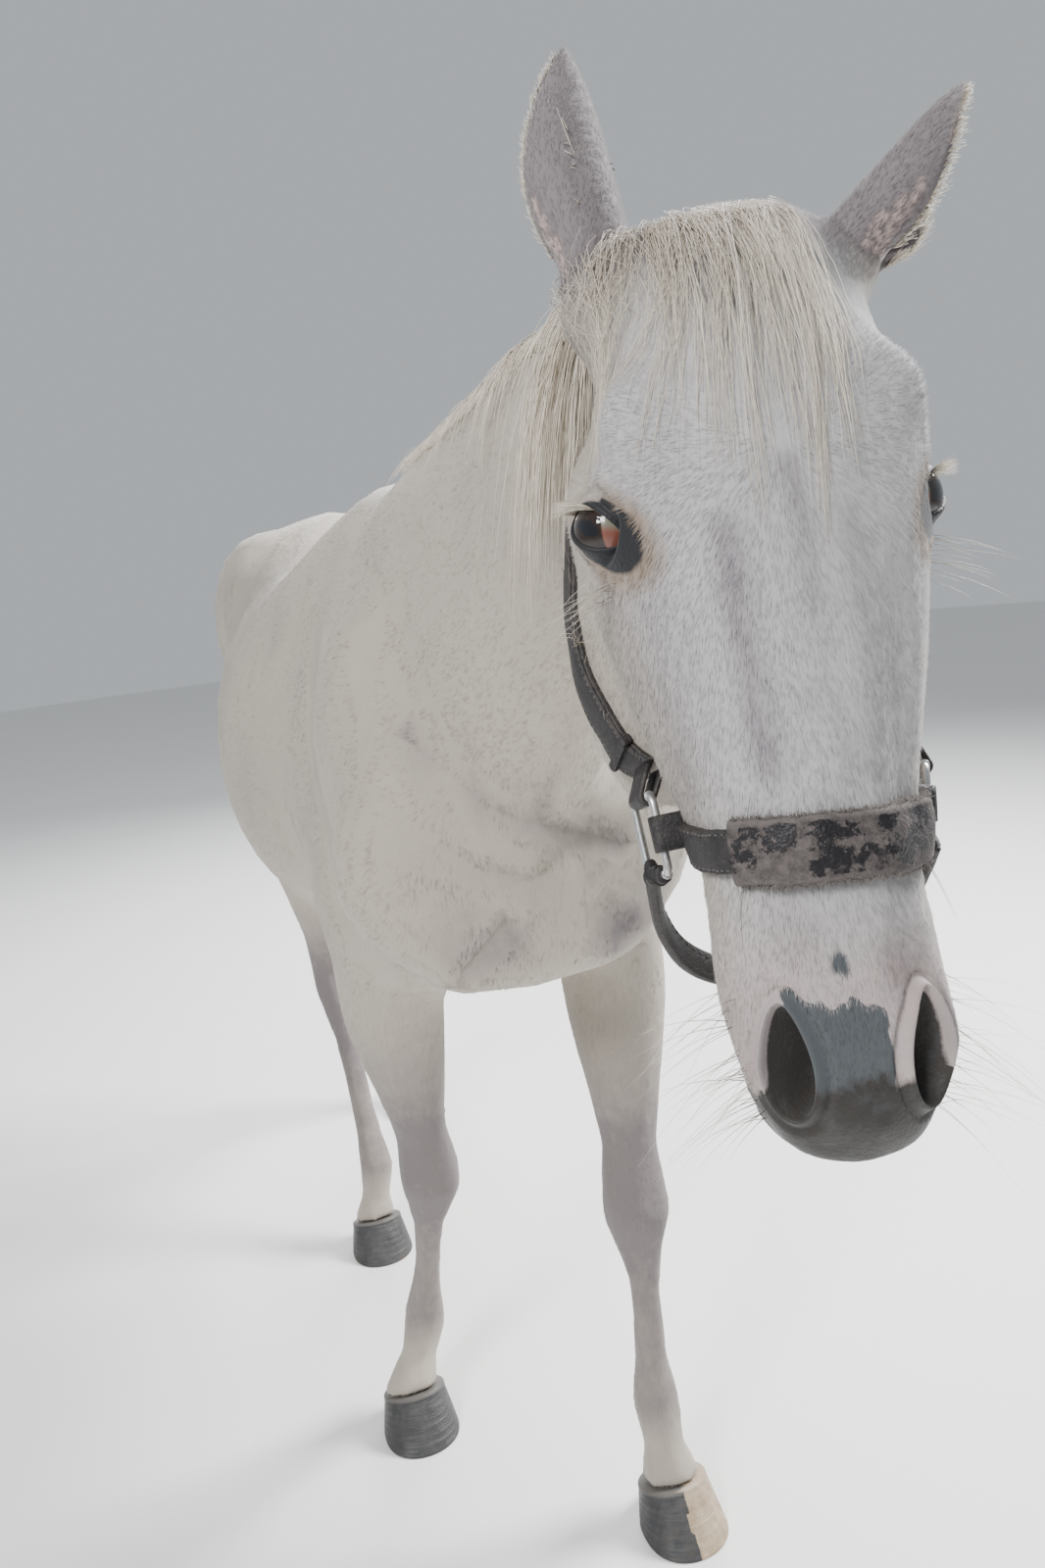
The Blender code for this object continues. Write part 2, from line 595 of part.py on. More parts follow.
def ear(name, side, surface):
    """A cupped leaf: each ring is a crescent, open on the side that the hollow faces."""
    base, axis, opening = ear_frame(side)
    across = axis.cross(opening)
    foot = base + axis * (EAR_FOOT + CUT)
    length = (in_head(*EAR_TIP[side]) - foot).length
    bm = bmesh.new()
    steps = 6
    rings = []
    for share, half_width, wrap, thickness in spline(EAR_PROFILE, 9):
        wrap = math.radians(wrap)
        radius = half_width / math.sin(min(wrap, math.pi / 2))
        middle = foot + axis * (length * share) + opening * (EAR_SWEEP * math.sin(math.pi * share))
        outer, inner = [], []
        for k in range(steps + 1):
            angle = wrap * (2 * k / steps - 1)
            way = across * math.sin(angle) - opening * (math.cos(angle) * EAR_DEPTH)
            outer.append(bm.verts.new(middle + way * radius))
            inner.append(bm.verts.new(middle + way * max(radius - thickness, radius * 0.25)))
        rings.append(outer + inner[::-1])
    size = len(rings[0])
    for ring, following in zip(rings, rings[1:]):
        for k in range(size):
            m = (k + 1) % size
            bm.faces.new((ring[k], ring[m], following[m], following[k]))
    for ring in (rings[0], rings[-1]):
        for k in range(steps):
            bm.faces.new((ring[k], ring[k + 1], ring[size - 2 - k], ring[size - 1 - k]))
    object_from(bm, name, surface)


def hoof(name, joints, surface):
    """A horn capsule: a flat sole on the floor, and a flat top that meets the pastern."""
    across, toe_way, up = coronet_axes()
    top = coronet_middle(joints) - up * CUT
    sole = Vector(joints["toe"]) + Vector((0, HOOF_LENGTH / 2, 0))
    sides = 20
    bm = bmesh.new()
    rings = []
    for share in (0, 0.12, 0.55, 1):
        ring = []
        for k in range(sides):
            c, s = math.cos(math.tau * k / sides), math.sin(math.tau * k / sides)
            low = sole + Vector((HOOF_WIDTH / 2 * c, -HOOF_LENGTH / 2 * math.copysign(abs(s) ** 0.8, s), 0))
            high = top + across * (CORONET_RADIUS * c) + toe_way * (CORONET_RADIUS * s)
            ring.append(bm.verts.new(low.lerp(high, share)))
        rings.append(ring)
    for ring, following in zip(rings, rings[1:]):
        for k in range(sides):
            m = (k + 1) % sides
            bm.faces.new((ring[k], ring[m], following[m], following[k]))
    bm.faces.new(rings[0])
    bm.faces.new(rings[-1])
    object_from(bm, name, surface)


# ---------------------------------------------------------------- pieces laid on the flesh


def surface_tree(obj):
    return BVHTree.FromPolygons([v.co for v in obj.data.vertices], [p.vertices for p in obj.data.polygons])


def laid(name, rows, thickness, surface, grown, tree):
    """A sheet laid on the flesh.

    rows is a grid of places near the skin. Each is dropped onto it, sunk by a few millimetres on the inside and
    raised by thickness(i, j), in metres, on the outside; the inside is then trimmed to the skin.
    """
    feet, ups = [], []
    for row in rows:
        found = [tree.find_nearest(Vector(place))[:2] for place in row]
        feet.append([place for place, _ in found])
        ups.append([up for _, up in found])
    high, wide = len(rows), len(rows[0])

    def smooth_up(i, j):
        near = [ups[m][n] for m in range(max(i - 1, 0), min(i + 2, high)) for n in range(max(j - 1, 0), min(j + 2, wide))]
        return sum(near, Vector()).normalized()

    bm = bmesh.new()
    inner = [[bm.verts.new(feet[i][j] - smooth_up(i, j) * SINK) for j in range(wide)] for i in range(high)]
    outer = [
        [bm.verts.new(feet[i][j] + smooth_up(i, j) * (thickness(i, j) + CUT)) for j in range(wide)]
        for i in range(high)
    ]
    for i in range(high - 1):
        for j in range(wide - 1):
            bm.faces.new((outer[i][j], outer[i][j + 1], outer[i + 1][j + 1], outer[i + 1][j]))
            bm.faces.new((inner[i][j], inner[i + 1][j], inner[i + 1][j + 1], inner[i][j + 1]))
    rim = [(i, 0) for i in range(high)] + [(high - 1, j) for j in range(1, wide)]
    rim += [(i, wide - 1) for i in range(high - 2, -1, -1)] + [(0, j) for j in range(wide - 2, 0, -1)]
    for (i, j), (m, n) in zip(rim, rim[1:] + rim[:1]):
        bm.faces.new((outer[i][j], inner[i][j], inner[m][n], outer[m][n]))
    return without(object_from(bm, name, surface), grown)


def strap(name, route, width, thickness, surface, grown, tree, count):
    """A flat strap along a route over the skin, rounded along its edges."""
    route = [Vector(place) for place in spline(route, count)]
    across_shares = (-1, -0.72, 0, 0.72, 1)
    rows = []
    for i, place in enumerate(route):
        along = (route[min(i + 1, count - 1)] - route[max(i - 1, 0)]).normalized()
        foot, up = tree.find_nearest(place)[:2]
        side = along.cross(up).normalized()
        rows.append([foot + side * (width / 2 * share) for share in across_shares])
    edge = (0.45, 0.92, 1.0, 0.92, 0.45)
    return laid(name, rows, lambda i, j: thickness * edge[j], surface, grown, tree)


def head_route(places, side=1):
    return [in_head(side * left, down, out) for left, down, out in places]


CHEEK_ROUTE = [  # from the ring up to behind the ear, on the left
    (0.090, 0.146, -0.040),
    (0.104, 0.110, -0.054),
    (0.115, 0.060, -0.070),
    (0.113, 0.000, -0.074),
    (0.106, -0.060, -0.074),
    (0.094, -0.120, -0.062),
    (0.090, -0.160, -0.062),
]
CROWN_ROUTE = [  # from the left cheek strap over the poll to the right one
    (0.088, -0.168, -0.062),
    (0.068, -0.192, -0.068),
    (0.036, -0.208, -0.076),
    (0.000, -0.212, -0.080),
    (-0.036, -0.208, -0.076),
    (-0.068, -0.192, -0.068),
    (-0.088, -0.168, -0.062),
]
NOSE_ROUTE = [  # from the right ring up to where the pad begins
    (-0.066, 0.184, -0.016),
    (-0.062, 0.190, 0.012),
    (-0.052, 0.195, 0.040),
    (-0.040, 0.198, 0.055),
]
PAD_ROUTE = [  # on over the nose to the left ring
    (-0.0385, 0.199, 0.056),
    (-0.020, 0.200, 0.062),
    (0.000, 0.200, 0.064),
    (0.020, 0.200, 0.062),
    (0.040, 0.199, 0.055),
    (0.054, 0.195, 0.038),
    (0.062, 0.190, 0.012),
    (0.066, 0.184, -0.014),
]
TAIL_ROUTE = [  # x, y, z, half width, front, back, fullness
    (0.000, 1.045, 1.325, 0.030, 0.035, 0.030, 2.0),
    (0.000, 1.110, 1.290, 0.038, 0.032, 0.030, 2.0),
    (0.000, 1.160, 1.200, 0.052, 0.034, 0.034, 2.0),
    (0.002, 1.178, 1.060, 0.066, 0.036, 0.040, 2.0),
    (0.004, 1.182, 0.900, 0.072, 0.036, 0.042, 2.0),
    (0.008, 1.180, 0.740, 0.064, 0.032, 0.038, 2.0),
    (0.012, 1.172, 0.590, 0.044, 0.024, 0.028, 2.0),
    (0.014, 1.165, 0.480, 0.016, 0.010, 0.012, 2.0),
]


def mane(surface, grown, tree):
    """Hair on the crest, falling to the right of the neck, shorter towards the withers."""
    stations, drops = 17, (0, 0.03, 0.065, 0.105, 0.15)
    rows = []
    for i in range(stations):
        f = i / (stations - 1)
        y = -0.772 + f * 0.722
        x = 0.024 * (1 - f) ** 2
        length = (1.15 - 0.5 * f) * (1 + 0.08 * math.sin(i * 2.3))
        top = tree.ray_cast(Vector((x, y, 2)), Vector((0, 0, -1)))[0]
        left = tree.ray_cast(Vector((0.6, y, top.z - 0.022)), Vector((-1, 0, 0)))[0]
        row = [left]
        for drop in drops:
            if drop == 0:
                row.append(top)
            else:
                from_right = Vector((-0.6, y - drop * length * 0.25, top.z - drop * length))
                row.append(tree.ray_cast(from_right, Vector((1, 0, 0)))[0])
        rows.append(row)
    depth = (0.006, 0.012, 0.013, 0.012, 0.010, 0.005)

    def thickness(i, j):
        return depth[j] * (1 + 0.3 * (i % 2)) * (0.6 if i in (0, stations - 1) else 1)

    return laid("mane", rows, thickness, surface, grown, tree)


def forelock(surface, grown, tree):
    """Thin hair that falls from between the ears over the forehead."""
    strands, lengths = 9, (0.11, 0.15, 0.17, 0.185, 0.16, 0.185, 0.17, 0.145, 0.11)
    rows = []
    for i in range(strands):
        across = (2 * i / (strands - 1) - 1)
        row = []
        for share in (0, 0.16, 0.36, 0.6, 0.82, 1):
            down = -0.198 + lengths[i] * share
            left = across * (0.034 + 0.034 * share)
            row.append(tree.find_nearest(in_head(left, down, 0.02 + 0.07 * min(1, share * 2)))[0])
        rows.append(row)
    depth = (0.007, 0.008, 0.007, 0.005, 0.004, 0.003)
    return laid("forelock", rows, lambda i, j: depth[j] * (1 + 0.25 * (i % 2)), surface, grown, tree)


def tail(surface, grown):
    bm = bmesh.new()
    loft(bm, TAIL_ROUTE, 11, facing=Vector((0, -1, 0)), sides=12)
    return without(object_from(bm, "tail", surface), grown)


# ---------------------------------------------------------------- the halter's metal and its chin strap


def wire_frame(bm, middle, long_way, wide_way, half_long, half_wide, bar, corner):
    """A closed rounded rectangle of round wire."""
    per_corner, sides = 3, 8
    spots = []
    for quarter in range(4):
        x = (half_wide - corner) * (1 if quarter in (0, 3) else -1)
        y = (half_long - corner) * (1 if quarter in (0, 1) else -1)
        for k in range(per_corner):
            angle = math.radians(90 * quarter + 90 * k / (per_corner - 1))
            spots.append((x + corner * math.cos(angle), y + corner * math.sin(angle)))
    path = [middle + wide_way * x + long_way * y for x, y in spots]
    up = wide_way.cross(long_way)
    rings = []
    for i, place in enumerate(path):
        along = (path[(i + 1) % len(path)] - path[i - 1]).normalized()
        out = along.cross(up)
        rings.append([
            bm.verts.new(place + (out * math.cos(math.tau * k / sides) + up * math.sin(math.tau * k / sides)) * bar)
            for k in range(sides)
        ])
    for i, ring in enumerate(rings):
        following = rings[(i + 1) % len(rings)]
        for k in range(sides):
            m = (k + 1) % sides
            bm.faces.new((ring[k], ring[m], following[m], following[k]))


def ring_axes(side):
    """(middle, along the head, across, out from the cheek) of one of the halter's rings."""
    left, down, out = RING_CENTRE
    middle = in_head(side * left, down, out)
    away = (HEAD_LEFT * side * 0.95 + HEAD_OUT * 0.22 + HEAD_DOWN * 0.10).normalized()
    long_way = (HEAD_DOWN - HEAD_DOWN.dot(away) * away).normalized()
    return middle, long_way, away.cross(long_way), away


def halter_ring(name, side, surface):
    middle, long_way, wide_way, _ = ring_axes(side)
    bm = bmesh.new()
    wire_frame(bm, middle, long_way, wide_way, *RING_HALF, RING_BAR, 0.006)
    return object_from(bm, name, surface)


def buckle(surface, tree):
    """The frame of the left cheek strap's buckle, lying on the strap."""
    foot, up = tree.find_nearest(in_head(0.113, 0.020, -0.074))[:2]
    long_way = (HEAD_DOWN - HEAD_DOWN.dot(up) * up).normalized()
    bm = bmesh.new()
    middle = foot + up * (STRAP_THICKNESS + RING_BAR + 4 * CUT)
    wire_frame(bm, middle, long_way, up.cross(long_way), 0.016, 0.016, 0.002, 0.005)
    return object_from(bm, "halter_buckle", surface)


HALF_CHIN_ROUTE = [  # from the left ring to the lowest point
    (0.0850, 0.196, -0.036),
    (0.0835, 0.206, -0.050),
    (0.0775, 0.228, -0.078),
    (0.0620, 0.249, -0.105),
    (0.0350, 0.263, -0.124),
    (0.0000, 0.268, -0.130),
]


def chin_strap(surface, rings):
    """A doubled strap that hangs from ring to ring under the jaw, clear of it."""
    places = []
    for left, down, out in HALF_CHIN_ROUTE + [(-left, down, out) for left, down, out in HALF_CHIN_ROUTE[-2::-1]]:
        places.append((*in_head(left, down, out), 0.0045, 0.0095, 0.0095, 2.6))
    bm = bmesh.new()
    loft(bm, places, 17, facing=-HEAD_DOWN, sides=8)
    strap = object_from(bm, "halter_chin_strap", surface)
    cutters = [swollen(ring, CUT) for ring in rings]
    without(strap, *cutters)
    discard(*cutters)
    return strap


# ---------------------------------------------------------------- the model


def stand_on_origin():
    """Moves every piece so that the origin is the middle of the footprint on the floor."""
    solids = [obj for obj in bpy.data.objects if obj.type == "MESH"]
    spread = np.array([v.co for obj in solids for v in obj.data.vertices])
    low, high = spread.min(axis=0), spread.max(axis=0)
    shift = Vector((-(low[0] + high[0]) / 2, -(low[1] + high[1]) / 2, -low[2]))
    for obj in solids:
        obj.data.transform(Matrix.Translation(shift))


def build():
    clear_scene()
    coat = material("coat", (0.78, 0.76, 0.72), 0.75)
    horn = material("hoof horn", (0.16, 0.14, 0.12), 0.5)
    iris = material("eye", (0.03, 0.018, 0.012), 0.05)
    hair = material("mane and tail hair", (0.80, 0.74, 0.66), 0.7)
    leather = material("black leather", (0.03, 0.03, 0.035), 0.5)
    suede = material("worn nose pad", (0.16, 0.15, 0.14), 0.9)
    steel = material("galvanised steel", (0.55, 0.56, 0.56), 0.35, 1.0)
    body = flesh()
    tree = surface_tree(body)
    grown = swollen(body, CUT)
    on_skin = (grown, tree)
    mane(hair, *on_skin)
    forelock(hair, *on_skin)
    tail(hair, grown)
    rings = [halter_ring("halter_ring_left", 1, steel), halter_ring("halter_ring_right", -1, steel)]
    straps = [strap("halter_crown", head_route(CROWN_ROUTE), STRAP_WIDTH, STRAP_THICKNESS, leather, *on_skin, 13)]
    for side, word in ((1, "left"), (-1, "right")):
        route = head_route(CHEEK_ROUTE, side)
        straps.append(strap(f"halter_cheek_{word}", route, STRAP_WIDTH, STRAP_THICKNESS, leather, *on_skin, 12))
    straps.append(strap("halter_noseband", head_route(NOSE_ROUTE), STRAP_WIDTH, STRAP_THICKNESS, leather, *on_skin, 7))
    straps.append(strap("halter_nose_pad", head_route(PAD_ROUTE), PAD_WIDTH, PAD_THICKNESS, suede, *on_skin, 13))
    for made in (rings, straps[1:3]):
        clearers = [swollen(piece, CUT) for piece in made]
        for piece in straps[:1] if made is not rings else straps:
            without(piece, *clearers)
        discard(*clearers)
    chin_strap(leather, rings)
    buckle(steel, tree)
    part(body, coat)
    discard(body, grown)
    for side, word in ((1, "left"), (-1, "right")):
        eye(f"eye_{word}", side, iris)
        ear(f"ear_{word}", side, coat)
    for name, joints in (("fore_left", FORE_LEFT), ("fore_right", FORE_RIGHT), ("hind_left", HIND_LEFT),
                         ("hind_right", HIND_RIGHT)):
        hoof(f"hoof_{name}", joints, horn)
    stand_on_origin()


build()
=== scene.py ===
import json
import math

import bmesh
import bpy
import numpy as np
from mathutils import Matrix, Vector
from mathutils.bvhtree import BVHTree

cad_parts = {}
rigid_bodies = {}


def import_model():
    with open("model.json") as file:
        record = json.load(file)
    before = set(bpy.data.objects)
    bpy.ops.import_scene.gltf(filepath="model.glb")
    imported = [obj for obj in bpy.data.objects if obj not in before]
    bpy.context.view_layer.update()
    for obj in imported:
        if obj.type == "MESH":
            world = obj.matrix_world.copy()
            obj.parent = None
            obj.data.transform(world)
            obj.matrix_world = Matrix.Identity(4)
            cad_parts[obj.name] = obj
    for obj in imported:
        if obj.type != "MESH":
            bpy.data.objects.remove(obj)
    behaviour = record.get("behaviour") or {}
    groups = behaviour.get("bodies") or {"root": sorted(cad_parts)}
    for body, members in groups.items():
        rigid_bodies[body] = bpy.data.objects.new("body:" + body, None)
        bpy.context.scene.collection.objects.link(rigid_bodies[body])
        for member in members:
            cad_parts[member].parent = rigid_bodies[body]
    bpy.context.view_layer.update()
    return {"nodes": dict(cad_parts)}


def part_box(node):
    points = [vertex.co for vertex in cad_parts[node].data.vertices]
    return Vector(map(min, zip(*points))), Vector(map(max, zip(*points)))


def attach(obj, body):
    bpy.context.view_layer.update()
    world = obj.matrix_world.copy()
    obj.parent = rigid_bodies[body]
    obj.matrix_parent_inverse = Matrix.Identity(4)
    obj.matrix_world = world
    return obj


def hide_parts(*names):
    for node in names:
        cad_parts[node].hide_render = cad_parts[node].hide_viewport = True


for left in list(bpy.data.objects):
    bpy.data.objects.remove(left)
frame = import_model()
rng = np.random.default_rng(5)

# The head's own frame: left, down the face, out of the face

headPlan = {"tip": 20, "eye": (0.086, -0.004, 0.001), "eyeRadius": 0.0235}


def middleOf(node):
    low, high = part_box(node)
    return (low + high) / 2


headLeft = (middleOf("eye_left") - middleOf("eye_right")).normalized()
ahead = Vector((headLeft.y, -headLeft.x, 0))
tip = math.radians(headPlan["tip"])
headDown = ahead * math.sin(tip) - Vector((0, 0, math.cos(tip)))
headOut = ahead * math.cos(tip) + Vector((0, 0, math.sin(tip)))
eyeMiddle = (middleOf("eye_left") + middleOf("eye_right")) / 2
headMiddle = eyeMiddle - headDown * headPlan["eye"][1] - headOut * headPlan["eye"][2]
headTurn = np.array([headLeft, headDown, headOut])


def toHead(places):
    return (np.asarray(places) - np.array(headMiddle)) @ headTurn.T


def fromHead(places):
    return np.array(headMiddle) + np.asarray(places, float) @ headTurn


def headPoint(left, down, out):
    return Vector(fromHead((left, down, out)))


# Small tools


def smoothStep(values, start, end):
    share = np.clip((np.asarray(values, float) - start) / (end - start), 0, 1)
    return share * share * (3 - 2 * share)


def bump(values, width):
    return np.exp(-((np.asarray(values) / width) ** 2))


def unit(vectors):
    vectors = np.asarray(vectors, float)
    return vectors / np.maximum(np.linalg.norm(vectors, axis=-1, keepdims=True), 1e-9)


def splineThrough(rows, count):
    rows = np.array(rows, float)
    padded = np.vstack([2 * rows[0] - rows[1], rows, 2 * rows[-1] - rows[-2]])
    steps = np.linspace(0, len(rows) - 1, count)
    base = np.minimum(steps.astype(int), len(rows) - 2)
    share = (steps - base)[:, None]
    a, b, c, d = (padded[base + k] for k in range(4))
    return 0.5 * (
        2 * b + (c - a) * share + (2 * a - 5 * b + 4 * c - d) * share**2 + (3 * b - a - 3 * c + d)
        * share**3
    )


def newObject(name, mesh, surface=None):
    made = bpy.data.objects.new(name, mesh)
    bpy.context.scene.collection.objects.link(made)
    if surface:
        mesh.materials.append(surface)
    return made


def fromBmesh(bm, name, surface=None, turnOut=True, smooth=True):
    if turnOut:
        bmesh.ops.recalc_face_normals(bm, faces=bm.faces)
    mesh = bpy.data.meshes.new(name)
    bm.to_mesh(mesh)
    bm.free()
    if smooth:
        mesh.shade_smooth()
    return newObject(name, mesh, surface)


def applied(piece):
    bpy.context.view_layer.update()
    graph = bpy.context.evaluated_depsgraph_get()
    mesh = bpy.data.meshes.new_from_object(piece.evaluated_get(graph))
    piece.modifiers.clear()
    piece.data = mesh
    return piece


def placesOf(mesh):
    places = np.empty(len(mesh.vertices) * 3)
    mesh.vertices.foreach_get("co", places)
    return places.reshape(-1, 3)


def normalsOf(mesh):
    normals = np.empty(len(mesh.vertices) * 3)
    mesh.vertex_normals.foreach_get("vector", normals)
    return normals.reshape(-1, 3)


def setPlaces(mesh, places):
    mesh.vertices.foreach_set("co", places.ravel())
    mesh.update()


def meanOfNeighbours(mesh):
    edges = np.empty(len(mesh.edges) * 2, int)
    mesh.edges.foreach_get("vertices", edges)
    first, second = edges.reshape(-1, 2).T
    count = len(mesh.vertices)
    degree = np.maximum(np.bincount(first, minlength=count) + np.bincount(second, minlength=count), 1)

    def mean(places):
        total = np.empty_like(places)
        for k in range(places.shape[1]):
            total[:, k] = np.bincount(first, places[second, k], count)
            total[:, k] += np.bincount(second, places[first, k], count)
        return total / degree[:, None]

    return mean


def treeOf(mesh):
    return BVHTree.FromPolygons([v.co for v in mesh.vertices], [p.vertices for p in mesh.polygons])


def paint(mesh, layers):
    for name, values in layers.items():
        layer = mesh.attributes.new(name, "FLOAT", "POINT")
        layer.data.foreach_set("value", np.asarray(values, np.float32))


def finished(piece, slotName, *nodes):
    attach(piece, "root")
    if nodes:
        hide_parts(*nodes)
    return piece


# Shader tools


class Wire:
    def __init__(self, tree, socket=None):
        self.tree, self.socket = tree, socket

    def add(self, kind, settings=None, inputs=None, output=0):
        node = self.tree.nodes.new(kind)
        for name, value in (settings or {}).items():
            if name == "stops":
                ramp = node.color_ramp
                while len(ramp.elements) < len(value):
                    ramp.elements.new(0.5)
                for element, (spot, colour) in zip(ramp.elements, value):
                    element.position = spot
                    element.color = colour if hasattr(colour, "__len__") else (colour,) * 3 + (1,)
            else:
                setattr(node, name, value)
        for key, value in (inputs or {}).items():
            if isinstance(value, Wire):
                self.tree.links.new(value.socket, node.inputs[key])
            else:
                node.inputs[key].default_value = value
        return Wire(self.tree, node.outputs[output])

    def math(self, operation, first, second=0.0, clamp=False):
        return self.add("ShaderNodeMath", {"operation": operation, "use_clamp": clamp},
                        {0: first, 1: second})

    def __add__(self, other):
        return self.math("ADD", self, other)

    def __sub__(self, other):
        return self.math("SUBTRACT", self, other)

    def __rsub__(self, other):
        return self.math("SUBTRACT", other, self)

    def __mul__(self, other):
        return self.math("MULTIPLY", self, other)

    def __truediv__(self, other):
        return self.math("DIVIDE", self, other)

    def __rtruediv__(self, other):
        return self.math("DIVIDE", other, self)

    def __pow__(self, other):
        return self.math("POWER", self, other)

    __radd__ = __add__
    __rmul__ = __mul__

    def step(self, start, end):
        return self.math("DIVIDE", self - start, end - start, clamp=True)

    def mix(self, first, second):  # this wire is the share of the second colour
        return self.add("ShaderNodeMix", {"data_type": "RGBA"}, {0: self, 6: first, 7: second},
                        output=2)


def noiseOn(where, scale, detail=4.0, roughness=0.55, stretch=None):
    if stretch:
        where = where.add("ShaderNodeMapping", None, {"Vector": where, "Scale": stretch})
    return where.add(
        "ShaderNodeTexNoise", None, {"Vector": where, "Scale": scale, "Detail": detail,
                                     "Roughness": roughness}
    )


def newMaterial(name):
    surface = bpy.data.materials.new(name)
    surface.use_nodes = True
    tree = surface.node_tree
    start = Wire(tree)
    where = start.add("ShaderNodeTexCoord", output=3)
    return surface, tree.nodes["Principled BSDF"], start, where


def feed(shader, start, **values):
    for name, value in values.items():
        socket = shader.inputs[name.replace("_", " ")]
        if isinstance(value, Wire):
            start.tree.links.new(value.socket, socket)
        else:
            socket.default_value = value


def bumpFrom(start, height, distance, strength=1.0):
    return start.add("ShaderNodeBump", None,
                     {"Height": height, "Distance": distance, "Strength": strength})


def rgb(red, green, blue):
    return (red, green, blue, 1.0)

# The coat's markings and its painted shade, read alike by the skin and by the tufts on it

coatPlan = {
    "cream": rgb(0.40, 0.355, 0.295),
    "pearl": rgb(0.46, 0.445, 0.445),
    "shade": rgb(0.118, 0.099, 0.112),
    "pink": rgb(0.46, 0.315, 0.285),
    "slate": rgb(0.075, 0.082, 0.088),
    "lips": rgb(0.034, 0.030, 0.027),
    "eyeSkin": rgb(0.010, 0.010, 0.012),
    "tan": rgb(0.22, 0.165, 0.12),
}


def spot(places, middle, radii):
    gap = (places - np.array(middle)) / np.array(radii)
    return np.exp(-(gap**2).sum(axis=1))


def onStroke(places, route, radius):
    nearest = np.full(len(places), 1e9)
    route = np.array(route, float)
    for start, end in zip(route, route[1:]):
        along = end - start
        share = np.clip(((places - start) @ along) / (along @ along), 0, 1)
        nearest = np.minimum(nearest, ((places - start - share[:, None] * along) ** 2).sum(axis=1))
    return np.exp(-nearest / radius**2)


def offsetsFrom(places, middle, plan, sign):
    way, up, out = (np.array(axis) for axis in localAxes(sign, plan["axis"], plan["along"]))
    gap = places - np.array(middle)
    return gap @ way, gap @ up, gap @ out


def noseMiddle(side):
    across, below, before = nostrilPlan["middle"]
    return headPoint(across * side, below, before)


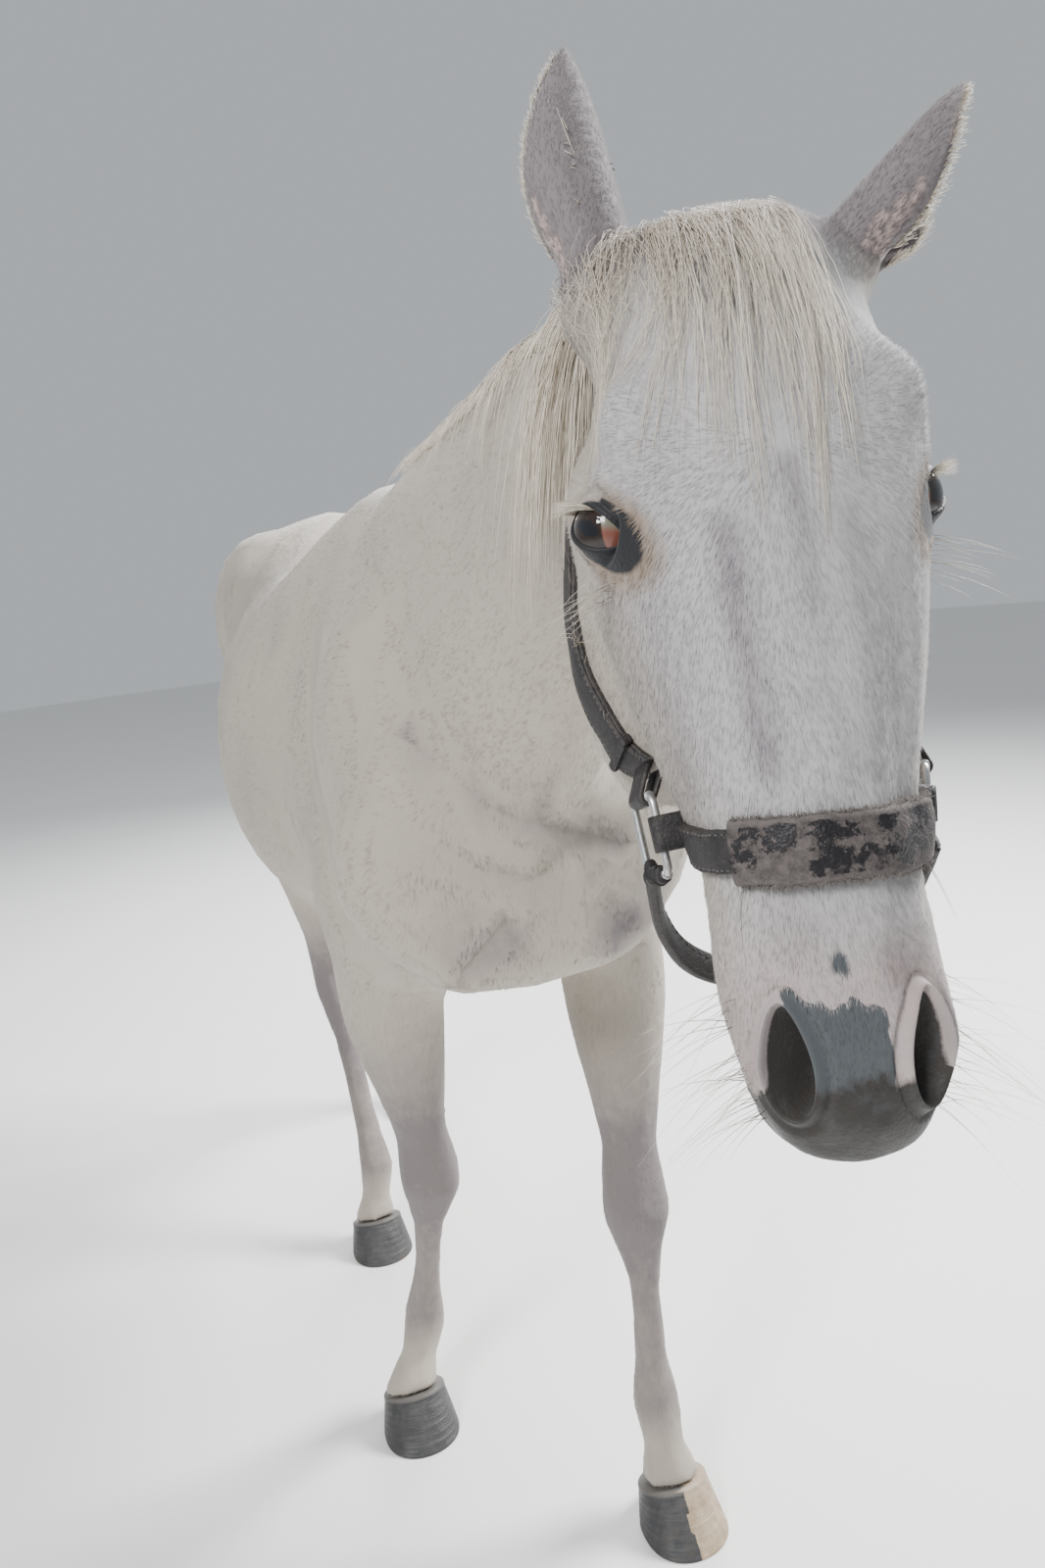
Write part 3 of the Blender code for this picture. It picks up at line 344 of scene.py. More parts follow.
def markingsAt(places):
    face = toHead(places)
    left, down, out = face.T
    side = np.abs(left)
    near = (out > -0.19) & (places[:, 2] > 0.93)
    ragged = 0.0030 * np.sin(left * 150 + 1) + 0.0018 * np.sin(left * 330 + down
            * 210) + 0.0010 * np.sin(left * 790 - down * 510)
    mouth = smoothStep(down + ragged + 0.55 * (0.03 - out).clip(0), 0.306, 0.334)
    mouth = mouth * smoothStep(out, -0.075, -0.045)
    slant = down - 0.28 * (left + 0.030).clip(0)
    patch = smoothStep(slant + ragged, 0.268, 0.278) * smoothStep(-left + ragged * 0.6, -0.019, -0.014)
    patch = patch * smoothStep(out, 0.02, 0.035) * smoothStep(left, -0.040, -0.034)
    rims = spot(np.c_[side, down, out], (0.046, 0.306, 0.046), (0.026, 0.040, 0.034))
    chin = smoothStep(down, 0.25, 0.31) * smoothStep(-out, 0.0, 0.03)
    hollow = np.zeros(len(places))
    lid, halo = np.zeros(len(places)), np.zeros(len(places))
    for sign, word in ((1, "left"), (-1, "right")):
        x, y, z = offsetsFrom(places, noseMiddle(sign), nostrilPlan, sign)
        oval = (x / nostrilPlan["half"]) ** 2 + (y / (nostrilPlan["wide"]
                                                      * (1 + 0.3 * x / nostrilPlan["half"]))) ** 2
        hollow += smoothStep(-oval, -1.0, -0.78) * (np.abs(z) < 0.045)
        x, y, z = offsetsFrom(places, middleOf("eye_" + word), lidPlan, sign)
        oval = ((x + 0.0125) / 0.0375) ** 2 + ((y - 0.0010) / (0.0165 + 0.0030 * (x < 0))) ** 2
        near_ = smoothStep(z, -0.02, 0.0) * (z < 0.06)
        lid += smoothStep(-oval, -1.12, -0.72) * near_
        halo += smoothStep(-oval, -3.2, -0.9) * near_ * (0.55 + 0.45 * smoothStep(-x, -0.01, 0.02))
    band = onStroke(face, [(-0.038, 0.03, 0.078), (-0.034, 0.11, 0.068), (-0.030, 0.155, 0.062)], 0.011)
    band += onStroke(face, [(0.030, 0.03, 0.080), (0.028, 0.12, 0.070), (0.026, 0.16, 0.064)],
                     0.010) * 0.6
    band += onStroke(face, [(0.0, 0.0, 0.088), (0.006, 0.10, 0.080), (0.014, 0.165, 0.070)], 0.008)
    # Painted shade on the horse's right cheek only, below the eye and towards the noseband
    cheek = onStroke(face, [(-0.060, -0.03, 0.055), (-0.064, 0.07, 0.035), (-0.060, 0.15, 0.020)],
                     0.020) * 0.5
    cheek += onStroke(face, [(-0.094, 0.045, 0.0), (-0.084, 0.10, -0.01), (-0.070, 0.16, -0.01)],
                      0.030) * 0.6
    # Ear backs: their own grey, deepened with painted shade
    ear = smoothStep(-down, 0.125, 0.195) * smoothStep(side, 0.030, 0.060)
    mist = onStroke(face, [(-0.036, 0.215, 0.060), (-0.030, 0.245, 0.060)], 0.016) + spot(face,
            (0.026, 0.262, 0.056), (0.012, 0.016, 0.03))
    # Painted shade in the armpits, along the creases of the chest and shoulder, and in one spot on the right side of
    # the trunk
    armpitShade = spot(places, (-0.073, -0.467, 0.905), (0.034, 0.07, 0.032)) + spot(places,
            (0.090, -0.457, 0.890), (0.028, 0.07, 0.034))
    folds = onStroke(places, [(-0.12, -0.41, 1.14), (-0.05, -0.49, 1.062), (0.019, -0.50, 1.021),
                              (0.09, -0.475, 1.00)], 0.018) * 0.42
    folds += onStroke(places, [(-0.18, -0.11, 1.26), (-0.19, -0.15, 1.15), (-0.21, -0.24, 1.00)],
                      0.020) * 0.38
    folds += armpitShade * 0.95 + spot(places, (-0.235, 0.10, 1.26), (0.05, 0.035, 0.05)) * 0.4
    noseSpot = spot(face, (-0.006, 0.259, 0.066), (0.0075, 0.0115, 0.030))
    noseSpot += spot(face, (0.012, 0.235, 0.066), (0.006, 0.009, 0.03)) * 0.35
    pinkNose = smoothStep(down, 0.215, 0.285) * smoothStep(out, -0.02, 0.02)
    height = places[:, 2]
    leg = smoothStep(-height, -0.78, -0.50)
    joint = bump(height - 0.43, 0.09) + bump(height - 0.52, 0.08) * 0.5
    pastern = smoothStep(-height, -0.17, -0.11)
    # This layer holds dusky markings and painted shade: shade on the cheek, the ear backs, the creases and the armpits
    faceDuskAndPaintedShade = (band + cheek) * 0.62 + ear * 1.7 + mist * 0.6 + rims * 0.55 * (1 - mouth)
    knuckle = leg * (0.62 + 0.45 * joint) * (1 - 0.9 * pastern)
    return {
        "slate": np.where(near, np.clip(patch + noseSpot * 0.8 + chin * 0.42 * (1 - mouth), 0, 1), 0),
        "lips": np.where(near, np.clip(mouth * (1 - 0.75 * rims * (side > 0.05)) + hollow, 0, 1), 0),
        "pink": np.where(near, np.clip(pinkNose * 0.60 - rims * 0.25 * (side > 0.045), 0, 1), 0),
        "lid": np.where(near, lid.clip(0, 1), 0),
        "tan": np.where(near, np.clip(halo, 0, 1), 0),
        "dusk": np.clip(np.where(near, faceDuskAndPaintedShade, folds * 1.5) + knuckle, 0, 1),
        "pearl": np.where(near, smoothStep(out, -0.02, 0.06), 0),
    }


def attributeOn(start, key):
    return start.add("ShaderNodeAttribute", {"attribute_name": key}, output=2)


def coatMaterial(name, furry):
    surface, shader, start, where = newMaterial(name)
    mark = {
        key: attributeOn(start, key)
        for key in ("slate", "lips", "pink", "lid", "tan", "dusk", "pearl")
    }
    cloud = noiseOn(where, 3.2, 5)
    fleck = noiseOn(where, 260, 3, 0.7)
    fine = noiseOn(where, 120, 3, 0.6, (1.0, 1.0, 0.35))
    colour = mark["pearl"].mix(coatPlan["cream"], coatPlan["pearl"])
    colour = (cloud.step(0.42, 0.66) * 0.20).mix(colour, coatPlan["shade"])
    mottle = noiseOn(where, 38, 4, 0.6)
    # Dusky markings and painted shade darken the coat towards the shade colour
    dusk = (mark["dusk"] * 1.2 + (fine - 0.5) * 0.6 * mark["dusk"] + (mottle - 0.5) * 1.1
            * mark["dusk"] - 0.06).step(0.0, 1.0)
    colour = (dusk * 0.80).mix(colour, coatPlan["shade"])
    colour = (mark["pink"] * (0.62 + (fine - 0.5) * 0.9)).step(0.0, 1.0).mix(colour, coatPlan["pink"])
    edge = (fine - 0.5) * 0.55 + (fleck - 0.5) * 0.35
    colour = (mark["tan"] * 0.8 + edge * mark["tan"]).step(0.15, 0.85).mix(colour, coatPlan["tan"])
    colour = (mark["slate"] + edge).step(0.38, 0.62).mix(colour, coatPlan["slate"])
    dark = noiseOn(where, 75, 4, 0.65).step(0.50, 0.68) * 0.30
    colour = (mark["lips"] + edge + (mottle - 0.5) * 0.5).step(0.36, 0.70).mix(colour,
            dark.mix(coatPlan["lips"], coatPlan["slate"]))
    colour = (mark["lid"] + edge * 0.5).step(0.18, 0.72).mix(colour, coatPlan["eyeSkin"])
    bright = 0.92 + fleck * 0.16
    if furry:
        bright = bright * (0.93 + attributeOn(start, "strand") * 0.14)
    grey = start.add("ShaderNodeCombineColor", None, {0: bright, 1: bright, 2: bright})
    colour = start.add("ShaderNodeMix", {"data_type": "RGBA", "blend_type": "MULTIPLY"},
                       {0: 1.0, 6: colour, 7: grey}, 2)
    bare = start.math("MAXIMUM", mark["lips"], mark["lid"])
    rough = 0.78 - bare * 0.22 + fleck * 0.08
    feed(shader, start, Base_Color=colour, Roughness=rough, Specular_IOR_Level=0.28)
    if not furry:
        hair = noiseOn(where, 700, 2, 0.6, (1.0, 0.25, 0.18))
        pore = start.add("ShaderNodeTexVoronoi", None, {"Vector": where, "Scale": 420.0}, output=0)
        height = hair * (1 - bare) * 0.7 + pore * bare * 0.45
        feed(shader, start, Normal=bumpFrom(start, height, 0.0009, 0.6))
    feed(shader, start, Sheen_Weight=0.15, Sheen_Roughness=0.5)
    return surface


skinSurface = coatMaterial("pony skin", False)
furSurface = coatMaterial("pony coat", True)

# The skin: one mesh over every piece of flesh

skinPlan = {
    "nodes": [n for n in sorted(frame["nodes"]) if n.split("_")[0] in (
        "head", "neck", "shoulders", "barrel", "hindquarters", "forearm", "gaskin", "cannon",
        "pastern")],
    "grow": 0.0006,  # closes the thin cuts between the pieces
    "grain": 0.0055,
    "rounds": 60,
    "legSoftness": 0.16,
    "headSoftness": 0.15,
    "coatDepth": {"head": 0.0015, "trunk": 0.0035, "legs": 0.0015},
    "triangles": 118000,
}


def regionShares(places):
    face = toHead(places)
    head = smoothStep(face[:, 2], -0.24, -0.17) * smoothStep(places[:, 2], 0.88, 0.96)
    legs = smoothStep(-places[:, 2], -0.80, -0.62) * (1 - head)
    return head, legs


def joinedFlesh():
    bm = bmesh.new()
    for name in skinPlan["nodes"] + ["eye_left", "eye_right"]:
        bm.from_mesh(frame["nodes"][name].data)
    bmesh.ops.remove_doubles(bm, verts=bm.verts, dist=0.00001)
    bm.normal_update()
    moves = [v.normal * skinPlan["grow"] for v in bm.verts]
    for vertex, move in zip(bm.verts, moves):
        vertex.co += move
    joined = fromBmesh(bm, "skin", skinSurface, turnOut=False)
    remesh = joined.modifiers.new("join", "REMESH")
    remesh.mode = "VOXEL"
    remesh.voxel_size = skinPlan["grain"]
    return applied(joined)


def softened(skin):
    mesh = skin.data
    places = placesOf(mesh)
    head, legs = regionShares(places)
    share = 1 - head * (1 - skinPlan["headSoftness"]) - legs * (1 - skinPlan["legSoftness"])
    mean = meanOfNeighbours(mesh)
    for _ in range(skinPlan["rounds"]):
        places += (mean(places) - places) * (0.6 * share.clip(0.05, 1))[:, None]
    setPlaces(mesh, places)


skin = joinedFlesh()
softened(skin)
print("skin joined:", len(skin.data.vertices))

# Muscles, creases and bones that show through the skin. Each is a route, a radius and a height, in metres

headForms = [
    ([(0.095, 0.036, -0.014), (0.086, 0.090, -0.010), (0.074, 0.150, -0.006)], 0.009, 0.0026),
    # facial crest
    ([(0.090, 0.075, -0.034), (0.076, 0.140, -0.026)], 0.014, -0.0018),
    ([(0.060, -0.058, 0.052), (0.068, -0.044, 0.048)], 0.014, -0.0045),  # hollow above the eye
    ([(0.070, -0.024, 0.050), (0.088, -0.030, 0.030)], 0.010, 0.0022),  # brow
    ([(0.054, 0.045, 0.060), (0.047, 0.130, 0.050), (0.040, 0.215, 0.044)], 0.011, -0.0022),
    # beside the nose bone
    ([(0.034, 0.060, 0.078), (0.030, 0.150, 0.066), (0.026, 0.230, 0.058)], 0.010, 0.0016),
    # edge of the nose bone
    ([(0.030, 0.228, 0.054), (0.044, 0.262, 0.050)], 0.008, -0.0022),  # above the nostril
    ([(0.104, -0.060, -0.030), (0.112, 0.000, -0.060)], 0.012, -0.0016),
    ([(0.068, 0.120, -0.060), (0.056, 0.180, -0.040), (0.050, 0.240, -0.030)], 0.009, -0.0016),
    # vein and muscle
    ([(0.060, 0.150, -0.012), (0.054, 0.210, 0.004), (0.050, 0.250, 0.016)], 0.006, 0.0012),
    ([(0.050, 0.010, 0.074), (0.034, -0.060, 0.060)], 0.020, -0.0012),
]
bodyForms = [
    ([(-0.18, -0.11, 1.26), (-0.19, -0.15, 1.15), (-0.21, -0.24, 1.00), (-0.20, -0.26, 0.92)], 0.020,
     -0.0055),
    ([(0.18, -0.11, 1.26), (0.19, -0.15, 1.15), (0.21, -0.24, 1.00), (0.20, -0.26, 0.92)], 0.020,
     -0.0055),
    ([(-0.12, -0.41, 1.14), (-0.05, -0.49, 1.062), (0.019, -0.50, 1.021), (0.09, -0.475, 1.00)], 0.014,
     -0.0060),
    ([(-0.10, -0.45, 1.10), (-0.03, -0.505, 1.035), (0.05, -0.50, 1.000)], 0.011, 0.0035),
    ([(-0.14, -0.42, 1.07), (-0.08, -0.49, 1.00), (-0.01, -0.51, 0.975)], 0.012, -0.0045),
    ([(0.0, -0.505, 0.99), (0.0, -0.505, 0.90), (0.0, -0.47, 0.82)], 0.016, -0.0060),
    # between the breast muscles
    ([(-0.06, -0.49, 0.93), (-0.105, -0.46, 0.87), (-0.12, -0.42, 0.80)], 0.016, -0.0060),
    ([(0.06, -0.49, 0.93), (0.105, -0.46, 0.87), (0.12, -0.42, 0.80)], 0.016, -0.0060),
    ([(-0.24, 0.02, 0.96), (-0.22, -0.03, 0.86), (-0.19, -0.05, 0.77)], 0.024, -0.0070),
    # behind the elbow
    ([(0.24, 0.00, 0.96), (0.24, -0.03, 0.86), (0.23, -0.05, 0.77)], 0.024, -0.0070),
    ([(-0.20, 0.52, 1.28), (-0.23, 0.50, 1.20), (-0.25, 0.50, 1.10)], 0.040, -0.0110),
    # hollow of the flank
    ([(0.20, 0.52, 1.28), (0.23, 0.50, 1.20), (0.25, 0.50, 1.10)], 0.040, -0.0110),
    ([(-0.22, 0.60, 1.00), (-0.20, 0.56, 0.86), (-0.15, 0.55, 0.76)], 0.026, -0.0070),
    # fold of the stifle
    ([(0.22, 0.60, 1.00), (0.20, 0.58, 0.86), (0.15, 0.58, 0.78)], 0.026, -0.0070),
    ([(-0.16, 0.98, 1.20), (-0.17, 0.96, 1.05), (-0.15, 0.94, 0.90)], 0.036, -0.0050),
    # between the thigh muscles
    ([(0.16, 0.98, 1.20), (0.17, 0.96, 1.05), (0.15, 0.98, 0.90)], 0.036, -0.0050),
    ([(0.0, 1.07, 1.20), (0.0, 1.07, 1.00), (0.0, 1.02, 0.84)], 0.022, -0.0110),  # between the buttocks
    ([(-0.12, -0.40, 1.28), (-0.14, -0.28, 1.20), (-0.17, -0.22, 1.10)], 0.022, -0.0035),
    ([(0.12, -0.40, 1.28), (0.14, -0.28, 1.20), (0.17, -0.22, 1.10)], 0.022, -0.0035),
    ([(0.0, 0.20, 1.43), (0.0, 0.50, 1.38), (0.0, 0.72, 1.43)], 0.020, 0.0035),  # spine
]
ribPlan = {"first": 0.10, "gap": 0.052, "count": 8, "slope": 0.16, "height": 0.0011, "radius": 0.013}


def sculpted(skin):
    mesh = skin.data
    places = placesOf(mesh)
    normals = normalsOf(mesh)
    head, legs = regionShares(places)
    depth = skinPlan["coatDepth"]
    inward = depth["head"] * head + depth["legs"] * legs + depth["trunk"] * (1 - head - legs).clip(0)
    rise = -inward
    face = toHead(places)
    nearFace = head > 0.01
    mirrored = face[nearFace]
    mirrored[:, 0] = np.abs(mirrored[:, 0])
    for route, radius, height in headForms:
        rise[nearFace] += onStroke(mirrored, route, radius) * height
    trunk = (head < 0.5) & (places[:, 2] > 0.6)
    for route, radius, height in bodyForms:
        strength = 2.3 if route[0][1] < -0.1 else 1.1
        rise[trunk] += onStroke(places[trunk], route, radius) * height * strength
    plan = ribPlan
    for k in range(plan["count"]):
        y = plan["first"] + plan["gap"] * k
        for side in (-1, 1):
            route = [(side * 0.24, y + plan["slope"] * t - 0.03, 1.22 - 0.36 * t)
                     for t in np.linspace(0, 1, 6)]
            flat = places[trunk] * np.array([0.25, 1, 1])
            rise[trunk] += onStroke(flat, np.array(route) * np.array([0.25, 1, 1]),
                                    plan["radius"]) * plan["height"]
    for names in ("fore_left", "fore_right", "hind_left", "hind_right"):
        low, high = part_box("cannon_" + names)
        top, foot = high.z + 0.01, low.z - 0.02
        inside = (places[:, 2] > foot) & (places[:,
                                                 2] < top) & (np.abs(places[:, 0]
                                                         - (low.x + high.x) / 2) < 0.08)
        inside &= np.abs(places[:, 1] - (low.y + high.y) / 2) < 0.14
        way = np.abs(normals[inside, 0])
        back = normals[inside, 1]
        groove = bump(way - 0.92, 0.20) * bump(back - 0.30, 0.30)
        span = smoothStep(places[inside, 2], foot, foot + 0.06) * smoothStep(-places[inside, 2], -top,
                -top + 0.07)
        rise[inside] -= 0.0030 * groove * span
    setPlaces(mesh, places + normals * rise[:, None])


def thinned(skin):
    head, legs = regionShares(placesOf(skin.data))
    keep = skin.vertex_groups.new(name="keep")
    levels = np.round((1 - 0.85 * head - 0.35 * legs).clip(0, 1), 1)
    for level in np.unique(levels):
        keep.add(np.flatnonzero(levels == level).tolist(), float(level), "REPLACE")
    reduce = skin.modifiers.new("reduce", "DECIMATE")
    reduce.ratio = skinPlan["triangles"] / (2 * len(skin.data.polygons))
    reduce.vertex_group = keep.name
    reduce.vertex_group_factor = 0.5
    applied(skin)
    skin.vertex_groups.clear()


sculpted(skin)
baseTree = treeOf(skin.data)
thinned(skin)
print("skin sculpted:", len(skin.data.polygons))

# Eyes, lids and nostrils are set into the skin as rings

lidPlan = {
    "axis": (0.70, 0.10, 0.70),
    "along": (0.62, -0.62, -0.46),
    "half": 0.0205,
    "upper": 0.0096,
    "lower": 0.0104,
    "reach": 0.028,
    "steps": (1.0, 0.84, 0.70, 0.58, 0.47, 0.38, 0.30, 0.23, 0.17, 0.12, 0.075, 0.035, 0.0),
    "thickness": 0.0030,
}
nostrilPlan = {
    "middle": (0.0400, 0.3075, 0.046),
    "axis": (0.55, 0.14, 0.82),
    "along": (-0.06, 0.98, -0.16),
    "half": 0.0305,
    "wide": 0.0122,
    "reach": 0.010,
    "steps": (1.0, 0.8, 0.62, 0.46, 0.32, 0.2, 0.1, 0.0),
    "inside": ((0.95, -0.003), (0.88, -0.007), (0.80, -0.012), (0.68, -0.018), (0.5, -0.025),
               (0.25, -0.030)),
}


def localAxes(side, axis, along):
    out = Vector(fromHead((axis[0] * side, axis[1], axis[2])) - np.array(headMiddle)).normalized()
    way = Vector(fromHead((along[0] * side, along[1], along[2])) - np.array(headMiddle))
    way = (way - out * way.dot(out)).normalized()
    up = out.cross(way) * side
    return way, up, out


def refined(bm, middle, reach, longest):
    near = [e for e in bm.edges if all((v.co - middle).length < reach
                                       for v in e.verts) and e.calc_length() > longest]
    bmesh.ops.subdivide_edges(bm, edges=near, cuts=1, smooth=0.0)
    bmesh.ops.triangulate(bm, faces=[f for f in bm.faces if len(f.verts) > 3])


def holeLoop(bm, middle, axes, outline, depth):
    way, up, out = axes
    doomed = []
    for face in bm.faces:
        gap = face.calc_center_median() - middle
        if gap.length > 0.06:
            continue
        x, y, z = gap.dot(way), gap.dot(up), gap.dot(out)
        if z > -depth and math.hypot(x, y) < outline(math.atan2(y, x)) * 1.04:
            doomed.append(face)
    bmesh.ops.delete(bm, geom=doomed, context="FACES")
    edges = [e for e in bm.edges if e.is_boundary and (e.verts[0].co - middle).length < 0.07]
    loops = []
    left = set(edges)
    while left:
        edge = left.pop()
        chain = [edge.verts[0], edge.verts[1]]
        while True:
            step = next((e for e in chain[-1].link_edges if e in left), None)
            if step is None:
                break
            left.remove(step)
            chain.append(step.other_vert(chain[-1]))
        if chain[0] is chain[-1]:
            chain.pop()
        loops.append(chain)
    loop = max(loops, key=len)
    angles = [math.atan2((v.co - middle).dot(up), (v.co - middle).dot(way)) for v in loop]
    steps = [math.remainder(b - a, math.tau) for a, b in zip(angles, angles[1:] + angles[:1])]
    if sum(steps) < 0:
        loop.reverse()
        angles.reverse()
        steps = [math.remainder(b - a, math.tau) for a, b in zip(angles, angles[1:] + angles[:1])]
    steps = np.array(steps)
    for _ in range(6):
        steps = (np.roll(steps, 1) + steps * 2 + np.roll(steps, -1)) / 4
    steps = steps.clip(0.002) * math.tau / steps.clip(0.002).sum()
    turned = angles[0] + np.r_[0, np.cumsum(steps)[:-1]]
    return loop, turned + np.mean([math.remainder(a - b, math.tau) for a, b in zip(angles, turned)])


def ringsInto(bm, loop, rings):
    previous = loop
    for ring in rings:
        made = [bm.verts.new(place) for place in ring]
        for k in range(len(made)):
            m = (k + 1) % len(made)
            bm.faces.new((previous[k], previous[m], made[m], made[k]))
        previous = made
    middle = bm.verts.new(sum((v.co for v in previous), Vector()) / len(previous))
    for k in range(len(previous)):
        bm.faces.new((previous[k], previous[(k + 1) % len(previous)], middle))


def skinHeight(middle, axes, x, y):
    way, up, out = axes
    start = middle + way * x + up * y + out * 0.06
    found = baseTree.ray_cast(start, -out, 0.12)[0]
    return (found - middle).dot(out) if found else 0.0


def lidRings(middle, axes, angles):
    way, up, out = axes
    plan, radius = lidPlan, headPlan["eyeRadius"]
    rings = []
    for share in plan["steps"]:
        ring = []
        for angle in angles:
            c, s = math.cos(angle), math.sin(angle)
            tall = plan["upper"] if s > 0 else plan["lower"]
            x0 = plan["half"] * math.copysign(abs(c) ** 0.92, c)
            tall *= 1 + 0.25 * c if s > 0 else 1.0
            y0 = tall * math.copysign(abs(s) ** 1.15, s) + 0.0008 * (1 - c)
            x = x0 + (plan["reach"] * c - x0) * share
            y = y0 + (plan["reach"] * s - y0) * share
            far = math.hypot(x, y)
            ball = math.sqrt(max(radius**2 - min(far, radius * 0.93) ** 2, 0)) - max(far - radius
                    * 0.93, 0) * 0.9
            thick = plan["thickness"] * (0.30 + 0.70 * min(1, share / 0.09))
            thick -= 0.0014 * math.exp(-(((share - 0.30) / 0.07) ** 2)) * max(s,
                    0)  # crease of the upper lid
            thick += 0.0012 * math.exp(-(((share - 0.46) / 0.12) ** 2)) * max(s, 0)
            thick -= 0.0008 * math.exp(-(((share - 0.62) / 0.06) ** 2)) * abs(s)
            thick -= 0.0008 * math.exp(-(((share - 0.38) / 0.07) ** 2)) * max(-s, 0)
            blend = float(smoothStep(share, 0.12, 0.90))
            z = (ball + thick) * (1 - blend) + skinHeight(middle, axes, x, y) * blend
            ring.append(middle + way * x + up * y + out * z)
        rings.append(ring)
    for shrink, depth in ((0.97, 0.0012), (1.0, 0.0035)):
        ring = []
        for place in rings[len(plan["steps"]) - 1]:
            gap = place - middle
            flat = gap - out * gap.dot(out)
            spot = flat * shrink
            height = math.sqrt(max(radius**2 - spot.length**2, 0)) - depth
            ring.append(middle + spot + out * height)
        rings.append(ring)
    for spread, height in ((0.55, -0.004), (0.25, -0.010)):
        ring = [middle + (p - middle - out * (p - middle).dot(out)) * spread + out * height
                for p in rings[-3]]
        rings.append(ring)
    return rings


def nostrilOutline(angle, share=0.0):
    plan = nostrilPlan
    c, s = math.cos(angle), math.sin(angle)
    wide = plan["wide"] * (1.0 + 0.30 * c)
    x = (plan["half"] + plan["reach"] * share) * c
    y = (wide + plan["reach"] * share) * s
    return x, y


def nostrilAngle(angle):  # from the way a point lies to its place on the oval
    long, wide = (nostrilPlan[key] + nostrilPlan["reach"] for key in ("half", "wide"))
    return math.atan2(math.sin(angle) * long, math.cos(angle) * wide)


def nostrilReach(angle):
    return math.hypot(*nostrilOutline(nostrilAngle(angle), 1.0))


def nostrilRings(middle, axes, angles):
    way, up, out = axes
    plan = nostrilPlan
    angles = [nostrilAngle(angle) for angle in angles]
    edge = []
    for angle in angles:
        x, y = nostrilOutline(angle, 1.0)
        edge.append(skinHeight(middle, axes, x, y))
    centre = sum(edge) / len(edge) + 0.003
    rings = []
    for share in plan["steps"]:
        ring = []
        for angle, height in zip(angles, edge):
            x, y = nostrilOutline(angle, share)
            outer = max(math.sin(angle), 0)  # the wing, on the outer side
            blend = float(smoothStep(share, 0.0, 1.0))
            z = centre + (height - centre) * (0.45 + 0.55 * blend)
            z += (0.0034 + 0.0028 * outer) * math.exp(-(((share - 0.16) / 0.20) ** 2))
            z -= 0.0022 * (1 - outer) * math.exp(-(((share - 0.72) / 0.16) ** 2))
            if share == 0:
                z -= 0.0012
            ring.append(middle + way * x + up * y + out * z)
        rings.append(ring)
    for shrink, depth in plan["inside"]:
        ring = []
        for angle in angles:
            x, y = nostrilOutline(angle)
            place = middle + way * (x * shrink - depth * 0.25) + up * (y * shrink + depth * 0.35)
            ring.append(place + out * (centre + depth))
        rings.append(ring)
    return rings


def faceSetIn(skin):
    bm = bmesh.new()
    bm.from_mesh(skin.data)
    bmesh.ops.triangulate(bm, faces=[f for f in bm.faces if len(f.verts) > 3])
    for side, word in ((1, "left"), (-1, "right")):
        eye = middleOf("eye_" + word)
        nose = noseMiddle(side)
        refined(bm, headPoint(side * 0.02, 0.31, 0.02), 0.085, 0.0036)
        refined(bm, eye, 0.046, 0.0030)
        refined(bm, nose, 0.052, 0.0026)
    for side, word in ((1, "left"), (-1, "right")):
        eye = middleOf("eye_" + word)
        axes = localAxes(side, lidPlan["axis"], lidPlan["along"])
        loop, angles = holeLoop(bm, eye, axes, lambda angle: lidPlan["reach"] + 0.001, 0.004)
        ringsInto(bm, loop, lidRings(eye, axes, angles))
        nose = noseMiddle(side)
        axes = localAxes(side, nostrilPlan["axis"], nostrilPlan["along"])
        loop, angles = holeLoop(bm, nose, axes, lambda angle: nostrilReach(angle) + 0.001, 0.022)
        ringsInto(bm, loop, nostrilRings(nose, axes, angles))
    bmesh.ops.triangulate(bm, faces=bm.faces)
    bmesh.ops.recalc_face_normals(bm, faces=bm.faces)
    bm.to_mesh(skin.data)
    bm.free()
    skin.data.shade_smooth()


faceSetIn(skin)
print("face set in:", len(skin.data.polygons))
finished(skin, "coat", *skinPlan["nodes"])

# Lips, folds and wrinkles, once the mesh is fine enough for them

lipForms = [
    ([(0.0, 0.366, 0.012), (0.030, 0.361, 0.010), (0.047, 0.350, 0.007), (0.055, 0.334, 0.001),
      (0.055, 0.314, -0.006)],
     0.0032, -0.0060),
    ([(0.0, 0.362, 0.024), (0.030, 0.357, 0.022), (0.050, 0.343, 0.016), (0.057, 0.325, 0.010)], 0.0075,
     0.0020),
    ([(0.0, 0.362, -0.004), (0.030, 0.354, -0.006), (0.046, 0.340, -0.010)], 0.0070, 0.0016),
    ([(0.0, 0.345, 0.050), (0.0, 0.362, 0.034)], 0.0050, -0.0014),
    ([(0.026, 0.262, 0.058), (0.040, 0.266, 0.056), (0.052, 0.278, 0.042)], 0.0045, -0.0016),
    ([(0.066, 0.036, 0.048), (0.078, 0.034, 0.040), (0.094, 0.034, 0.018)], 0.0032, -0.0012),
    ([(0.064, 0.046, 0.044), (0.080, 0.046, 0.032), (0.094, 0.046, 0.010)], 0.0036, -0.0009),
    ([(0.070, -0.020, 0.052), (0.082, -0.026, 0.040), (0.096, -0.032, 0.016)], 0.0032, -0.0012),
    ([(0.056, 0.300, -0.012), (0.050, 0.280, -0.018), (0.046, 0.262, -0.022)], 0.0060, -0.0014),
]


